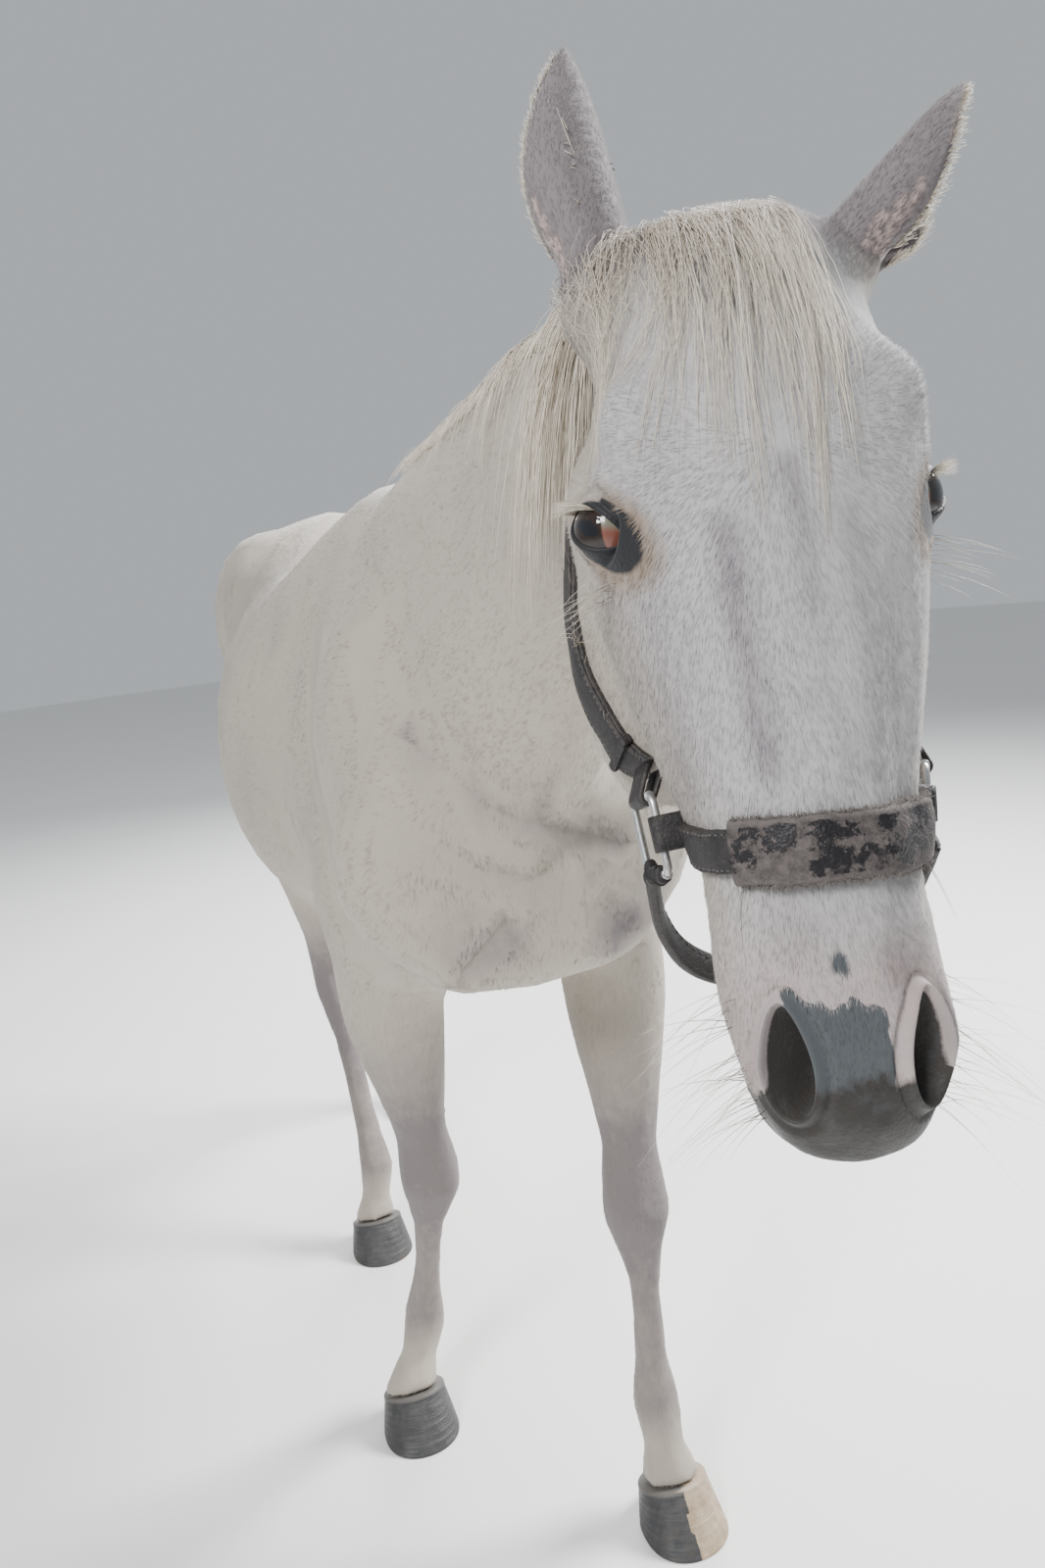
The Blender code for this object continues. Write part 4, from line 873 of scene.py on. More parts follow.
def lipsCut(skin):
    mesh = skin.data
    places = placesOf(mesh)
    face = toHead(places)
    nearNose = (face[:, 1] > 0.215) & (face[:, 2] > -0.11)
    inOval = np.zeros(len(places), bool)
    for side in (1, -1):
        nose = np.array(noseMiddle(side))
        way, up, _ = (np.array(a) for a in localAxes(side, nostrilPlan["axis"], nostrilPlan["along"]))
        gap = places - nose
        inOval |= ((gap @ way) / 0.042) ** 2 + ((gap @ up) / 0.024) ** 2 < 1
    mean = meanOfNeighbours(mesh)
    calm = (nearNose & ~inOval).astype(float)[:, None] * 0.6
    for _ in range(5):
        places += (mean(places) - places) * calm
    setPlaces(mesh, places)
    normals = normalsOf(mesh)
    mirrored = face.copy()
    mirrored[:, 0] = np.abs(mirrored[:, 0])
    rise = np.zeros(len(places))
    onFace = (face[:, 2] > -0.1) & (places[:, 2] > 0.93) & ~inOval
    for route, radius, height in lipForms:
        rise[onFace] += onStroke(mirrored[onFace], route, radius) * height
    setPlaces(mesh, places + normals * rise[:, None])
    places = placesOf(mesh)
    paint(mesh, markingsAt(places))


lipsCut(skin)
skinTree = treeOf(skin.data)

# Where each tuft's colour is kept when the finish is baked


def unwrapped(places):
    places = np.asarray(places)
    face = toHead(places)
    head, legs = regionShares(places)
    u = 0.02 + 0.96 * (places[:, 1] + 1.25) / 2.5
    v = 0.02 + 0.46 * (np.arctan2(places[:, 0], places[:, 2] - 1.05) / math.tau + 0.5)
    onHead = head > 0.5
    around = np.arctan2(face[:, 0], face[:, 2] + 0.06) / math.tau + 0.5
    u = np.where(onHead, 0.02 + 0.46 * around, u)
    v = np.where(onHead, 0.52 + 0.46 * (face[:, 1] + 0.36) / 0.76, v)
    for k, name in enumerate(("fore_left", "fore_right", "hind_left", "hind_right")):
        low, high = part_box("cannon_" + name)
        middle = (low + high) / 2
        gapX, gapY = places[:, 0] - middle.x, places[:, 1] - middle.y
        own = (legs > 0.5) & (places[:, 0] * middle.x > 0) & ((places[:, 1] > 0.3) == (middle.y > 0.3))
        u = np.where(own, 0.52 + 0.12 * k + 0.10 * (np.arctan2(gapX, gapY) / math.tau + 0.5), u)
        v = np.where(own, 0.52 + 0.46 * places[:, 2] / 0.85, v)
    return np.c_[u, v].clip(0.004, 0.996)


def meshFrom(name, places, corners, spots, surface, layers, leans=None):
    mesh = bpy.data.meshes.new(name)
    count = len(corners)
    mesh.vertices.add(len(places))
    mesh.vertices.foreach_set("co", places.ravel())
    mesh.loops.add(count * 3)
    mesh.loops.foreach_set("vertex_index", corners.ravel())
    mesh.polygons.add(count)
    mesh.polygons.foreach_set("loop_start", np.arange(count) * 3)
    mesh.update(calc_edges=True)
    paint(mesh, layers)
    baked = mesh.uv_layers.new(name="OFBake")
    baked.data.foreach_set("uv", spots[corners.ravel()].ravel())
    mesh.shade_smooth()
    if leans is not None:
        mesh.normals_split_custom_set_from_vertices(leans)
    return newObject(name, mesh, surface)


def orderedShell(ring, rings):
    faces = []
    for row in range(rings - 1):
        for k in range(ring):
            m = (k + 1) % ring
            a, b, c, d = row * ring + k, row * ring + m, (row + 1) * ring + m, (row + 1) * ring + k
            faces += [(c, b, a), (d, c, a)]
    faces.append((0, 1, 2))
    last = (rings - 1) * ring
    faces.append((last + 2, last + 1, last))
    return np.array(faces)


def locks(name, paths, widths, faces, surface, slotName, flat=0.45, nodes=()):
    paths = np.asarray(paths, float)
    count, steps = paths.shape[:2]
    along = unit(np.gradient(paths, axis=1))
    side = unit(np.cross(along, faces[:, None, :]))
    up = np.cross(side, along)
    half = widths[:, :, None] / 2
    rings = np.stack([paths - side * half, paths + side * half, paths + up * half * flat * 2], axis=2)
    places = rings.reshape(-1, 3)
    shell = orderedShell(3, steps)
    corners = (shell[None] + (np.arange(count) * steps * 3)[:, None, None]).reshape(-1, 3)
    roots = unwrapped(paths[:, 0])
    share = np.linspace(0, 1, steps)
    patch = np.zeros((count, steps, 3, 2))
    patch[..., 0] = roots[:, None, None, 0] + np.array([-0.0014, 0.0014, 0])
    patch[..., 1] = roots[:, None, None, 1] + (share * 0.003 - 0.0015)[None, :, None]
    layers = {key: np.repeat(values, steps * 3) for key, values in markingsAt(paths[:, 0]).items()}
    layers["strand"] = np.repeat(rng.random(count), steps * 3)
    layers["along"] = np.tile(np.repeat(share, 3), count)
    made = meshFrom(name, places, corners, patch.reshape(-1, 2), surface, layers)
    return finished(made, slotName, *nodes)


def tufts(name, roots, normals, ways, lengths, widths, lifts, surface):
    count = len(roots)
    heading = unit(ways * np.cos(lifts)[:, None] + normals * np.sin(lifts)[:, None])
    side = unit(np.cross(heading, normals))
    base = roots - normals * 0.0006
    rings = [base - side * widths[:, None] / 2, base + side * widths[:, None] / 2]
    rings += [base + normals * widths[:, None] * 0.45, roots + heading * lengths[:, None]]
    places = np.stack(rings, axis=1).reshape(-1, 3)
    shell = np.array([(1, 2, 0), (2, 3, 0), (1, 3, 2), (0, 3, 1)])
    corners = (shell[None] + (np.arange(count) * 4)[:, None, None]).reshape(-1, 3)
    patch = unwrapped(roots)[:, None] + np.array([(-0.0014, -0.0012), (0.0014, -0.0012), (0, -0.0012),
                                                  (0, 0.0016)])
    layers = {key: np.repeat(values, 4) for key, values in markingsAt(roots).items()}
    layers["strand"] = np.repeat(rng.random(count), 4)
    leans = unit(normals + side * rng.normal(0, 0.09, count)[:, None] - heading * 0.08)
    made = meshFrom(name, places, corners, patch.reshape(-1, 2), surface, layers,
                    np.repeat(leans, 4, axis=0))
    return finished(made, "coat")


# The short coat

furPlan = {
    "face": {"pieces": 2, "count": 46000, "length": 0.0070, "width": 0.00075, "lift": 6},
    "body": {"pieces": 3, "count": 47000, "length": 0.0115, "width": 0.0012, "lift": 3.2},
}


def lieOfCoat(places, normals):
    face = toHead(places)
    left, down, out = face.T
    head, legs = regionShares(places)
    onHead = unit(np.c_[left * 0.9, down + 0.014, -smoothStep(-out, -0.05, 0.03) * 0.10]) @ headTurn
    front = smoothStep(-places[:, 1], 0.40, 0.50) * smoothStep(-places[:, 2], -1.15, -1.0)
    rump = smoothStep(places[:, 1], 0.6, 0.95)
    fall = 0.30 + 0.9 * front + 0.8 * rump + 0.5 * smoothStep(-places[:, 2], -1.0, -0.75)
    onBody = np.c_[places[:, 0] * 0.3, 1 - 0.6 * rump - 0.7 * front, -fall]
    onLeg = np.tile((0.0, 0.12, -1.0), (len(places), 1))
    way = onHead * head[:, None] + unit(onBody) * (1 - head - legs).clip(0)[:, None] + onLeg * legs[:,
            None]
    way += rng.normal(0, 0.10, way.shape)
    return unit(way - normals * (way * normals).sum(axis=1)[:, None])


def scatteredOn(mesh, count, density):
    mesh.calc_loop_triangles()
    corners = np.empty(len(mesh.loop_triangles) * 3, int)
    mesh.loop_triangles.foreach_get("vertices", corners)
    corners = corners.reshape(-1, 3)
    places, normals = placesOf(mesh), normalsOf(mesh)
    a, b, c = (places[corners[:, k]] for k in range(3))
    area = np.linalg.norm(np.cross(b - a, c - a), axis=1) * density((a + b + c) / 3)
    picked = rng.choice(len(area), count, p=area / area.sum())
    s, t = rng.random((2, count))
    over = s + t > 1
    s[over], t[over] = 1 - s[over], 1 - t[over]
    weights = np.c_[1 - s - t, s, t][:, :, None]
    spots = (places[corners[picked]] * weights).sum(axis=1)
    ups = unit((normals[corners[picked]] * weights).sum(axis=1))
    return spots, ups


def bareHere(places):
    face = toHead(places)
    side = np.abs(face[:, 0])
    mark = markingsAt(places)
    hidden = np.zeros(len(places), bool)
    for sign in (1, -1):
        for plan, middle, long, wide in (
            (nostrilPlan, noseMiddle(sign), 0.036, 0.018),
            (lidPlan, middleOf("eye_left" if sign > 0 else "eye_right"), 0.0215, 0.0125),
        ):
            way, up, out = (np.array(a) for a in localAxes(sign, plan["axis"], plan["along"]))
            gap = places - np.array(middle)
            hidden |= (((gap @ way) / long) ** 2
                       + ((gap @ up) / wide) ** 2 < 1) & (np.abs(gap @ out) < 0.05)
    hidden |= (mark["lips"] > 0.75) | (mark["lid"] > 0.30) | ((side < 0.03) & (face[:, 1] > 0.34))
    return hidden


def shortCoat():
    for word, plan in furPlan.items():
        onFace = word == "face"

        def density(places):
            head, legs = regionShares(places)
            if onFace:
                front = smoothStep(toHead(places)[:, 2], -0.12, 0.02)
                face = toHead(places)
                temple = bump(face[:, 1] + 0.13, 0.08) * smoothStep(np.abs(face[:, 0]), 0.04, 0.07)
                return head * (0.35 + front + temple) * ~bareHere(places)
            return (1 - head).clip(0) * (1 + 1.2 * legs)

        for k in range(plan["pieces"]):
            count = plan["count"] // 1
            spots, ups = scatteredOn(skin.data, count, density)
            head, legs = regionShares(spots)
            face = toHead(spots)
            scale = rng.uniform(0.7, 1.3, count)
            if onFace:
                muzzle = smoothStep(face[:, 1], 0.20, 0.32)
                lidNear = markingsAt(spots)["lid"]
                scale *= (1 - 0.45 * muzzle) * (1 - 0.55 * lidNear)
                scale *= 1 + 0.9 * smoothStep(-face[:, 2], 0.06, 0.16)
            else:
                scale *= 1 - 0.45 * legs
                scale *= 1 + 1.1 * bump(spots[:, 2] - 0.165, 0.05) * (ups[:, 1] > 0.2)
            lifts = np.radians(plan["lift"] * rng.uniform(0.5, 1.8, count))
            ways = lieOfCoat(spots, ups)
            name = f"coat_{word}_{k + 1}"
            tufts(name, spots, ups, ways, plan["length"] * scale,
                  plan["width"] * rng.uniform(0.7, 1.3, count), lifts, furSurface)
    print("short coat laid")


shortCoat()

# Eyes

eyePlan = {"cornea": 0.0011, "corneaWidth": 0.0150, "pupil": (0.0078, 0.0040), "iris": 0.0145}


def eyeSurface():
    surface, shader, start, where = newMaterial("wet eye")
    x, y = (attributeOn(start, key) for key in ("gazeX", "gazeY"))
    far = (x * x + y * y) ** 0.5
    pupil = ((x / eyePlan["pupil"][0]) ** 2 + (y / eyePlan["pupil"][1]) ** 2).step(0.75, 1.25)
    streaks = noiseOn(where, 420, 3, 0.7)
    brown = streaks.step(0.3, 0.7).mix(rgb(0.006, 0.004, 0.004), rgb(0.026, 0.013, 0.007))
    colour = pupil.mix(rgb(0.004, 0.005, 0.008), brown)
    rim = (far / eyePlan["iris"]).step(0.86, 1.0)
    colour = rim.mix(colour, rgb(0.012, 0.008, 0.007))
    corner = (y * 0.55 - 0.0098 - x).step(0.0, 0.0010)
    upper = (y + 0.0005 + x * 0.25).step(0.0, 0.004)
    wedge = upper.mix(rgb(0.17, 0.058, 0.040), rgb(0.15, 0.14, 0.10))
    colour = corner.mix(colour, wedge)
    feed(shader, start, Base_Color=colour, Roughness=0.06 + corner * 0.22, IOR=1.40, Coat_Weight=0.6,
         Coat_Roughness=0.02)
    return surface


def eyeMade(side, word, surface):
    middle = middleOf("eye_" + word)
    way, up, out = localAxes(side, lidPlan["axis"], lidPlan["along"])
    turn = Matrix((way, up, out)).transposed().to_4x4()
    bm = bmesh.new()
    radius = headPlan["eyeRadius"]
    bmesh.ops.create_uvsphere(bm, u_segments=64, v_segments=40, radius=radius)
    gaze = []
    for vertex in bm.verts:
        x, y, z = vertex.co
        far = math.hypot(x, y)
        if z > 0:
            bulge = eyePlan["cornea"] * math.exp(-((far / eyePlan["corneaWidth"]) ** 4))
            wedge = 0.0005 * float(smoothStep(y * 0.55 - 0.0098 - x, 0.0, 0.0015)) * (far < 0.0205)
            vertex.co *= 1 + (bulge + wedge) / radius
        gaze.append((x if z > 0 else 0.03, y))
    bmesh.ops.transform(bm, matrix=Matrix.Translation(middle) @ turn, verts=bm.verts)
    made = fromBmesh(bm, "eye" + word.capitalize(), surface)
    paint(made.data, {"gazeX": [g[0] for g in gaze], "gazeY": [g[1] for g in gaze]})
    return finished(made, "eye", "eye_" + word)


wetEye = eyeSurface()
for side, word in ((1, "left"), (-1, "right")):
    eyeMade(side, word, wetEye)
print("eyes made")

# Ears

earPlan = {
    "base": {-1: (-0.074, -0.172, -0.006), 1: (0.080, -0.166, -0.006)},
    "tip": {-1: (-0.076, -0.334, -0.012), 1: (0.176, -0.278, -0.010)},
    "opening": {-1: (-0.75, 0.00, -0.65), 1: (0.75, 0.60, 0.10)},
    "foot": 0.0125,
    "depth": 0.85,
    "sweep": 0.013,
    "profile": [  # share of the length, half width, half the angle it wraps, thickness
        (-0.16, 0.024, 172, 0.020),
        (0.00, 0.0262, 163, 0.0160),
        (0.12, 0.0292, 149, 0.0080),
        (0.28, 0.0322, 127, 0.0042),
        (0.45, 0.0324, 108, 0.0032),
        (0.62, 0.0284, 95, 0.0027),
        (0.78, 0.0206, 88, 0.0023),
        (0.90, 0.0118, 84, 0.0020),
        (0.975, 0.0045, 80, 0.0015),
        (0.997, 0.0015, 80, 0.0010),
    ],
}


def earFrame(side):
    base = headPoint(*earPlan["base"][side])
    axis = (headPoint(*earPlan["tip"][side]) - base).normalized()
    opening = headPoint(*earPlan["opening"][side]) - headMiddle
    opening = (opening - axis * opening.dot(axis)).normalized()
    return base, axis, opening


def bridged(bm, rings, closed=True):
    for ring, following in zip(rings, rings[1:]):
        for k in range(len(ring) if closed else len(ring) - 1):
            m = (k + 1) % len(ring)
            bm.faces.new((ring[k], ring[m], following[m], following[k]))


def earMade(side, word):
    base, axis, opening = earFrame(side)
    across = axis.cross(opening)
    foot = base + axis * earPlan["foot"]
    length = (headPoint(*earPlan["tip"][side]) - foot).length
    bm = bmesh.new()
    rings, edges = [], []
    steps = 26
    for share, half, wrap, thick in splineThrough(earPlan["profile"], 46):
        wrap = math.radians(wrap)
        radius = half / math.sin(min(wrap, math.pi / 2))
        middle = foot + axis * (length * share) + opening * (earPlan["sweep"]
                * math.sin(math.pi * max(share, 0)))
        outer, inner = [], []
        for k in range(steps + 1):
            angle = wrap * (2 * k / steps - 1)
            way = across * math.sin(angle) - opening * (math.cos(angle) * earPlan["depth"])
            rim = 1 - 0.55 * abs(2 * k / steps - 1) ** 6
            fold = 0.0007 * math.sin(angle * 5) * max(0, 1 - abs(share - 0.35) * 2.2)
            outer.append(bm.verts.new(middle + way * radius))
            inner.append(bm.verts.new(middle + way * max(radius - thick * rim + fold, radius * 0.25)))
        rings.append(outer + inner[::-1])
        edges.append((share, outer[0].co.copy(), outer[-1].co.copy(), way))
    bridged(bm, rings)
    for ring in (rings[0], rings[-1]):
        bm.faces.new(ring)
    bmesh.ops.triangulate(bm, faces=[f for f in bm.faces if len(f.verts) > 4])
    made = fromBmesh(bm, "ear" + word.capitalize(), skinSurface)
    layers = markingsAt(placesOf(made.data))
    layers["pearl"] = layers["pearl"] * 0 + 0.3
    places, normals = placesOf(made.data), normalsOf(made.data)
    inside = ((places - np.array(foot)) @ np.array(opening) < 0.02) & (normals @ np.array(opening) > 0.35)
    layers["pink"] = np.where(inside, 0.85, 0.0)
    # Ear backs darkened with their own grey and painted shade; the inside stays paler and pink
    layers["dusk"] = np.where(inside, 0.35, 0.95)
    paint(made.data, layers)
    finished(made, "coat", "ear_" + word)
    return made, edges, (foot, axis, opening, across)


ears = {side: earMade(side, word) for side, word in ((1, "left"), (-1, "right"))}
print("ears made")

# Long hair: mane, forelock, tail, fringes, lashes and whiskers

hairPlan = {
    "root": rgb(0.42, 0.355, 0.285),
    "tip": rgb(0.74, 0.67, 0.56),
    "dark": rgb(0.27, 0.21, 0.155),
}


def hairSurface():
    surface, shader, start, where = newMaterial("long pale hair")
    strand = attributeOn(start, "strand")
    along = start.add("ShaderNodeAttribute", {"attribute_name": "along"}, output=2)
    colour = along.step(0.0, 0.6).mix(hairPlan["root"], hairPlan["tip"])
    colour = (strand.step(0.72, 1.0) * 0.6).mix(colour, hairPlan["dark"])
    fine = noiseOn(where, 340, 2)
    feed(shader, start, Base_Color=colour, Roughness=0.42 + fine * 0.2, Specular_IOR_Level=0.4)
    return surface


longHair = hairSurface()


def onSkin(place, reach=0.4):
    found, up = skinTree.find_nearest(Vector(place), reach)[:2]
    return (np.array(found), np.array(up)) if found else (np.array(place), np.array((0, 0, 1.0)))


def crest(y):
    x = 0.024 * np.clip((-0.05 - (y + 0.057)) / 0.72, 0, 1) ** 2
    found = skinTree.ray_cast(Vector((x, y, 2)), Vector((0, 0, -1)))[0]
    return np.array(found)


manePlan = {
    "lengths": ((0, 0.04, 0.09, 0.13, 0.20, 0.30, 0.37, 0.44, 0.7, 1.0),
                (0.17, 0.27, 0.25, 0.10, 0.085, 0.08, 0.15, 0.085, 0.08, 0.06)),
    "count": 2000,
}


def maneMade():
    count, steps = manePlan["count"] // 1, 11
    paths, widths, faces = [], [], []
    clumps = rng.random(60)
    for k in range(count):
        f = rng.random() * 0.13 if rng.random() < 0.30 else rng.random()
        y = -0.885 + 0.735 * f
        clump = int(f * 59.9)
        length = float(np.interp(f, *manePlan["lengths"])) * (0.6 + 0.7
                * clumps[clump]) * rng.uniform(0.5, 1.1)
        toLeft = rng.random() < 0.06
        root = crest(y) + np.array((rng.normal(0, 0.010), 0, 0))
        place, up = onSkin(root + np.array((0, 0, 0.01)))
        pull = (round(f * 30) / 30 - f) * 0.5
        way = unit(np.array((0.5 if toLeft else -0.55, rng.normal(0.0, 0.06) + pull, 0.55)))
        path = [place - up * 0.002]
        drift = rng.normal(0, 0.10)
        for s in range(1, steps):
            share = s / (steps - 1)
            fall = np.array((0.10 if toLeft else -0.10, drift + 0.05 * math.sin(share * 5 + k), -1.0))
            way = unit(way + unit(fall) * 0.55)
            ahead_ = path[-1] + way * length / (steps - 1)
            near, upHere = onSkin(ahead_)
            gap = (ahead_ - near) @ upHere
            lift = 0.004 + 0.008 * (1 - share) + 0.004 * clumps[clump]
            if gap < lift:
                ahead_ = ahead_ + upHere * (lift - gap)
            path.append(ahead_)
        paths.append(path)
        widths.append(rng.uniform(0.0008, 0.0016) * np.linspace(1, 0.2, steps) ** 0.8)
        faces.append(up)
    return locks("mane", paths, np.array(widths), np.array(faces), longHair, "hair", nodes=("mane",))


def forelockMade():
    steps = 14
    paths, widths, faces = [], [], []
    locksWanted = [  # where each lock hangs to on the face, its spread and its number of hairs
        ((-0.106, -0.078), 0.004, 20), ((-0.104, -0.046), 0.004, 24), ((-0.094, -0.066), 0.005, 22),
        ((-0.090, -0.022), 0.004, 24), ((-0.078, -0.050), 0.005, 26), ((-0.068, -0.006), 0.004, 24),
        ((-0.058, -0.058), 0.006, 28), ((-0.048, -0.028), 0.005, 28), ((-0.034, -0.004), 0.004, 28),
        ((-0.026, -0.062), 0.006, 26), ((-0.016, 0.020), 0.003, 26), ((-0.004, -0.034), 0.006, 30),
        ((0.008, 0.000), 0.004, 30), ((0.016, 0.034), 0.003, 30), ((0.018, -0.066), 0.006, 28),
        ((0.032, -0.024), 0.005, 30), ((0.042, 0.004), 0.003, 22), ((0.050, -0.052), 0.005, 24),
        ((-0.112, -0.098), 0.004, 22), ((-0.098, -0.112), 0.006, 26), ((-0.070, -0.104), 0.012, 34),
        ((-0.030, -0.112), 0.016, 40), ((0.012, -0.112), 0.016, 40),
    ]
    for (left, down), spread, number in locksWanted:
        bend = rng.normal(0, 0.012)
        middleRoot = np.clip(left * 0.68 + rng.normal(0, 0.006), -0.074, 0.042)
        for _ in range(number // (1)):
            rootLeft = np.clip(middleRoot + rng.normal(0, 0.009), -0.078, 0.046)
            stray = 3.0 if rng.random() < 0.10 else 1.0
            endLeft = left + rng.normal(0, spread * stray)
            end = down + rng.normal(0, 0.010) - 0.045 * rng.random() ** 2
            start = -0.200 + rng.normal(0, 0.012) + 0.036 * smoothStep(-rootLeft, 0.045, 0.072)
            lift = abs(rng.normal(0, 0.0016)) + 0.0008
            sway = rng.normal(0, 0.003)
            path = []
            for s in range(steps):
                share = s / (steps - 1)
                x = rootLeft + (endLeft - rootLeft) * share**0.8 + sway * math.sin(share
                        * 5) + bend * share * (1 - share)
                d = start + (end - start) * share
                before = 0.03 + 0.06 * min(1, share * 2.2) - 1.6 * max(0, abs(x) - 0.055)
                near, up = onSkin(fromHead((x, d, before)))
                path.append(near + up * (lift + 0.005 * math.sin(math.pi * min(share * 1.3, 1))
                                         * (1 + lift * 200)))
            paths.append(path)
            widths.append(rng.uniform(0.0003, 0.00062) * np.linspace(1, 0.25, steps) ** 0.7)
            faces.append(np.array(headOut))
    return locks("forelock", paths, np.array(widths), np.array(faces), longHair, "hair",
                 nodes=("forelock",))


def tailMade():
    low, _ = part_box("tail")
    count, steps = 2600 // 1, 13
    dock = [(0.0, 0.990, 1.338), (0.0, 1.048, 1.300), (0.0, 1.098, 1.215), (0.0, 1.115, 1.10)]
    dockLine = splineThrough(dock, 20)
    paths, widths, faces = [], [], []
    for k in range(count):
        at = rng.random() ** 1.2
        root = dockLine[int(at * 19)]
        angle = rng.uniform(0, math.tau)
        outward = np.array((math.cos(angle), math.sin(angle) * 0.75 + 0.15, 0))
        spread = math.sqrt(rng.random())
        bottom = low.z + 0.02 + (1 - rng.random() ** 2.2) * 0.42 * (0.3 + 0.7 * spread)
        bottom = min(bottom, root[2] - 0.2)
        path = []
        for s in range(steps):
            share = s / (steps - 1)
            height = root[2] + (bottom - root[2]) * share
            fullness = 0.060 * math.sin(math.pi * min(1, 0.015 + share * 0.93)) * spread
            middle = np.array((0.010 * share,
                               root[1] + (1.112 - root[1]) * (1 - (1 - min(1, share * 1.8)) ** 2),
                               height))
            wave = 0.004 * math.sin(share * 7 + k * 0.7)
            path.append(middle + outward * (0.006 + 0.006 * min(1, share * 6) + fullness + wave
                                            * min(1, share * 5)) * np.array((1, 0.75, 1)))
        paths.append(path)
        widths.append(rng.uniform(0.0016, 0.0034) * np.linspace(1, 0.18, steps) ** 0.7)
        faces.append(outward)
    return locks("tail", paths, np.array(widths), np.array(faces), longHair, "hair", nodes=("tail",))


def fringe(name, roots, ways, lengths, widths, bends, surface, slotName="coat", steps=5):
    roots, ways, lengths, bends = (np.array(a) for a in (roots, ways, lengths, bends))
    share = np.linspace(0, 1, steps)
    paths = roots[:, None] + ways[:, None] * (lengths[:, None] * share)[:, :, None]
    paths = paths + bends[:, None] * (share**2)[None, :, None] * lengths[:, None, None]
    taper = widths[:, None] * np.linspace(1, 0.12, steps) ** 0.8
    return locks(name, paths, taper, unit(ways[:, [1, 2, 0]] + 0.3), surface, slotName)


def earHair():
    roots, ways, lengths, bends = [], [], [], []
    for _, edges, (foot, axis, opening, across) in ears.values():
        axisArray, openArray = np.array(axis), np.array(opening)
        for share, first, last, _ in edges:
            if not 0.0 < share < 0.95:
                continue
            for place, turn in ((first, -1), (last, 1)):
                for _ in range(12):
                    inward = -np.array(across) * turn * rng.uniform(0.1, 1.0)
                    spot = np.array(place) + axisArray * rng.uniform(-0.002, 0.002)
                    roots.append(spot)
                    ways.append(unit(inward * 0.5 + openArray * rng.uniform(0.1, 0.7) + axisArray
                                     * rng.uniform(0.4, 1.0)))
                    lengths.append(rng.uniform(0.004, 0.0105) * (1.2 - 0.6 * share))
                    bends.append(axisArray * 0.3)
        for _ in range(260):
            share = rng.uniform(0.0, 0.45)
            spot = np.array(foot) + axisArray * (0.16
                                                 * share) - openArray * 0.010 + np.array(across) * rng.normal(0, 0.010)
            roots.append(spot)
            ways.append(unit(openArray * rng.uniform(0.5, 1.2) + axisArray * rng.uniform(0.3, 1.0)
                             + rng.normal(0, 0.2, 3)))
            lengths.append(rng.uniform(0.014, 0.030))
            bends.append(axisArray * 0.4)
    count = len(roots)
    fringe("earHair", roots, ways, lengths, rng.uniform(0.0006, 0.0011, count),
           bends, longHair)


def earCoat():
    for side, (piece, _, (_, axis, _, _)) in ears.items():
        count = 9000 // 1
        spots, ups = scatteredOn(piece.data, count, lambda places: np.ones(len(places)))
        way = np.tile(np.array(axis), (count, 1)) + rng.normal(0, 0.12, (count, 3))
        way = unit(way - ups * (way * ups).sum(axis=1)[:, None])
        lifts = np.radians(rng.uniform(5, 18, count))
        name = "coat_ear_" + ("left" if side > 0 else "right")
        lengths = rng.uniform(0.004, 0.008, count)
        tufts(name, spots, ups, way, lengths, rng.uniform(0.0006, 0.0010, count), lifts, furSurface)


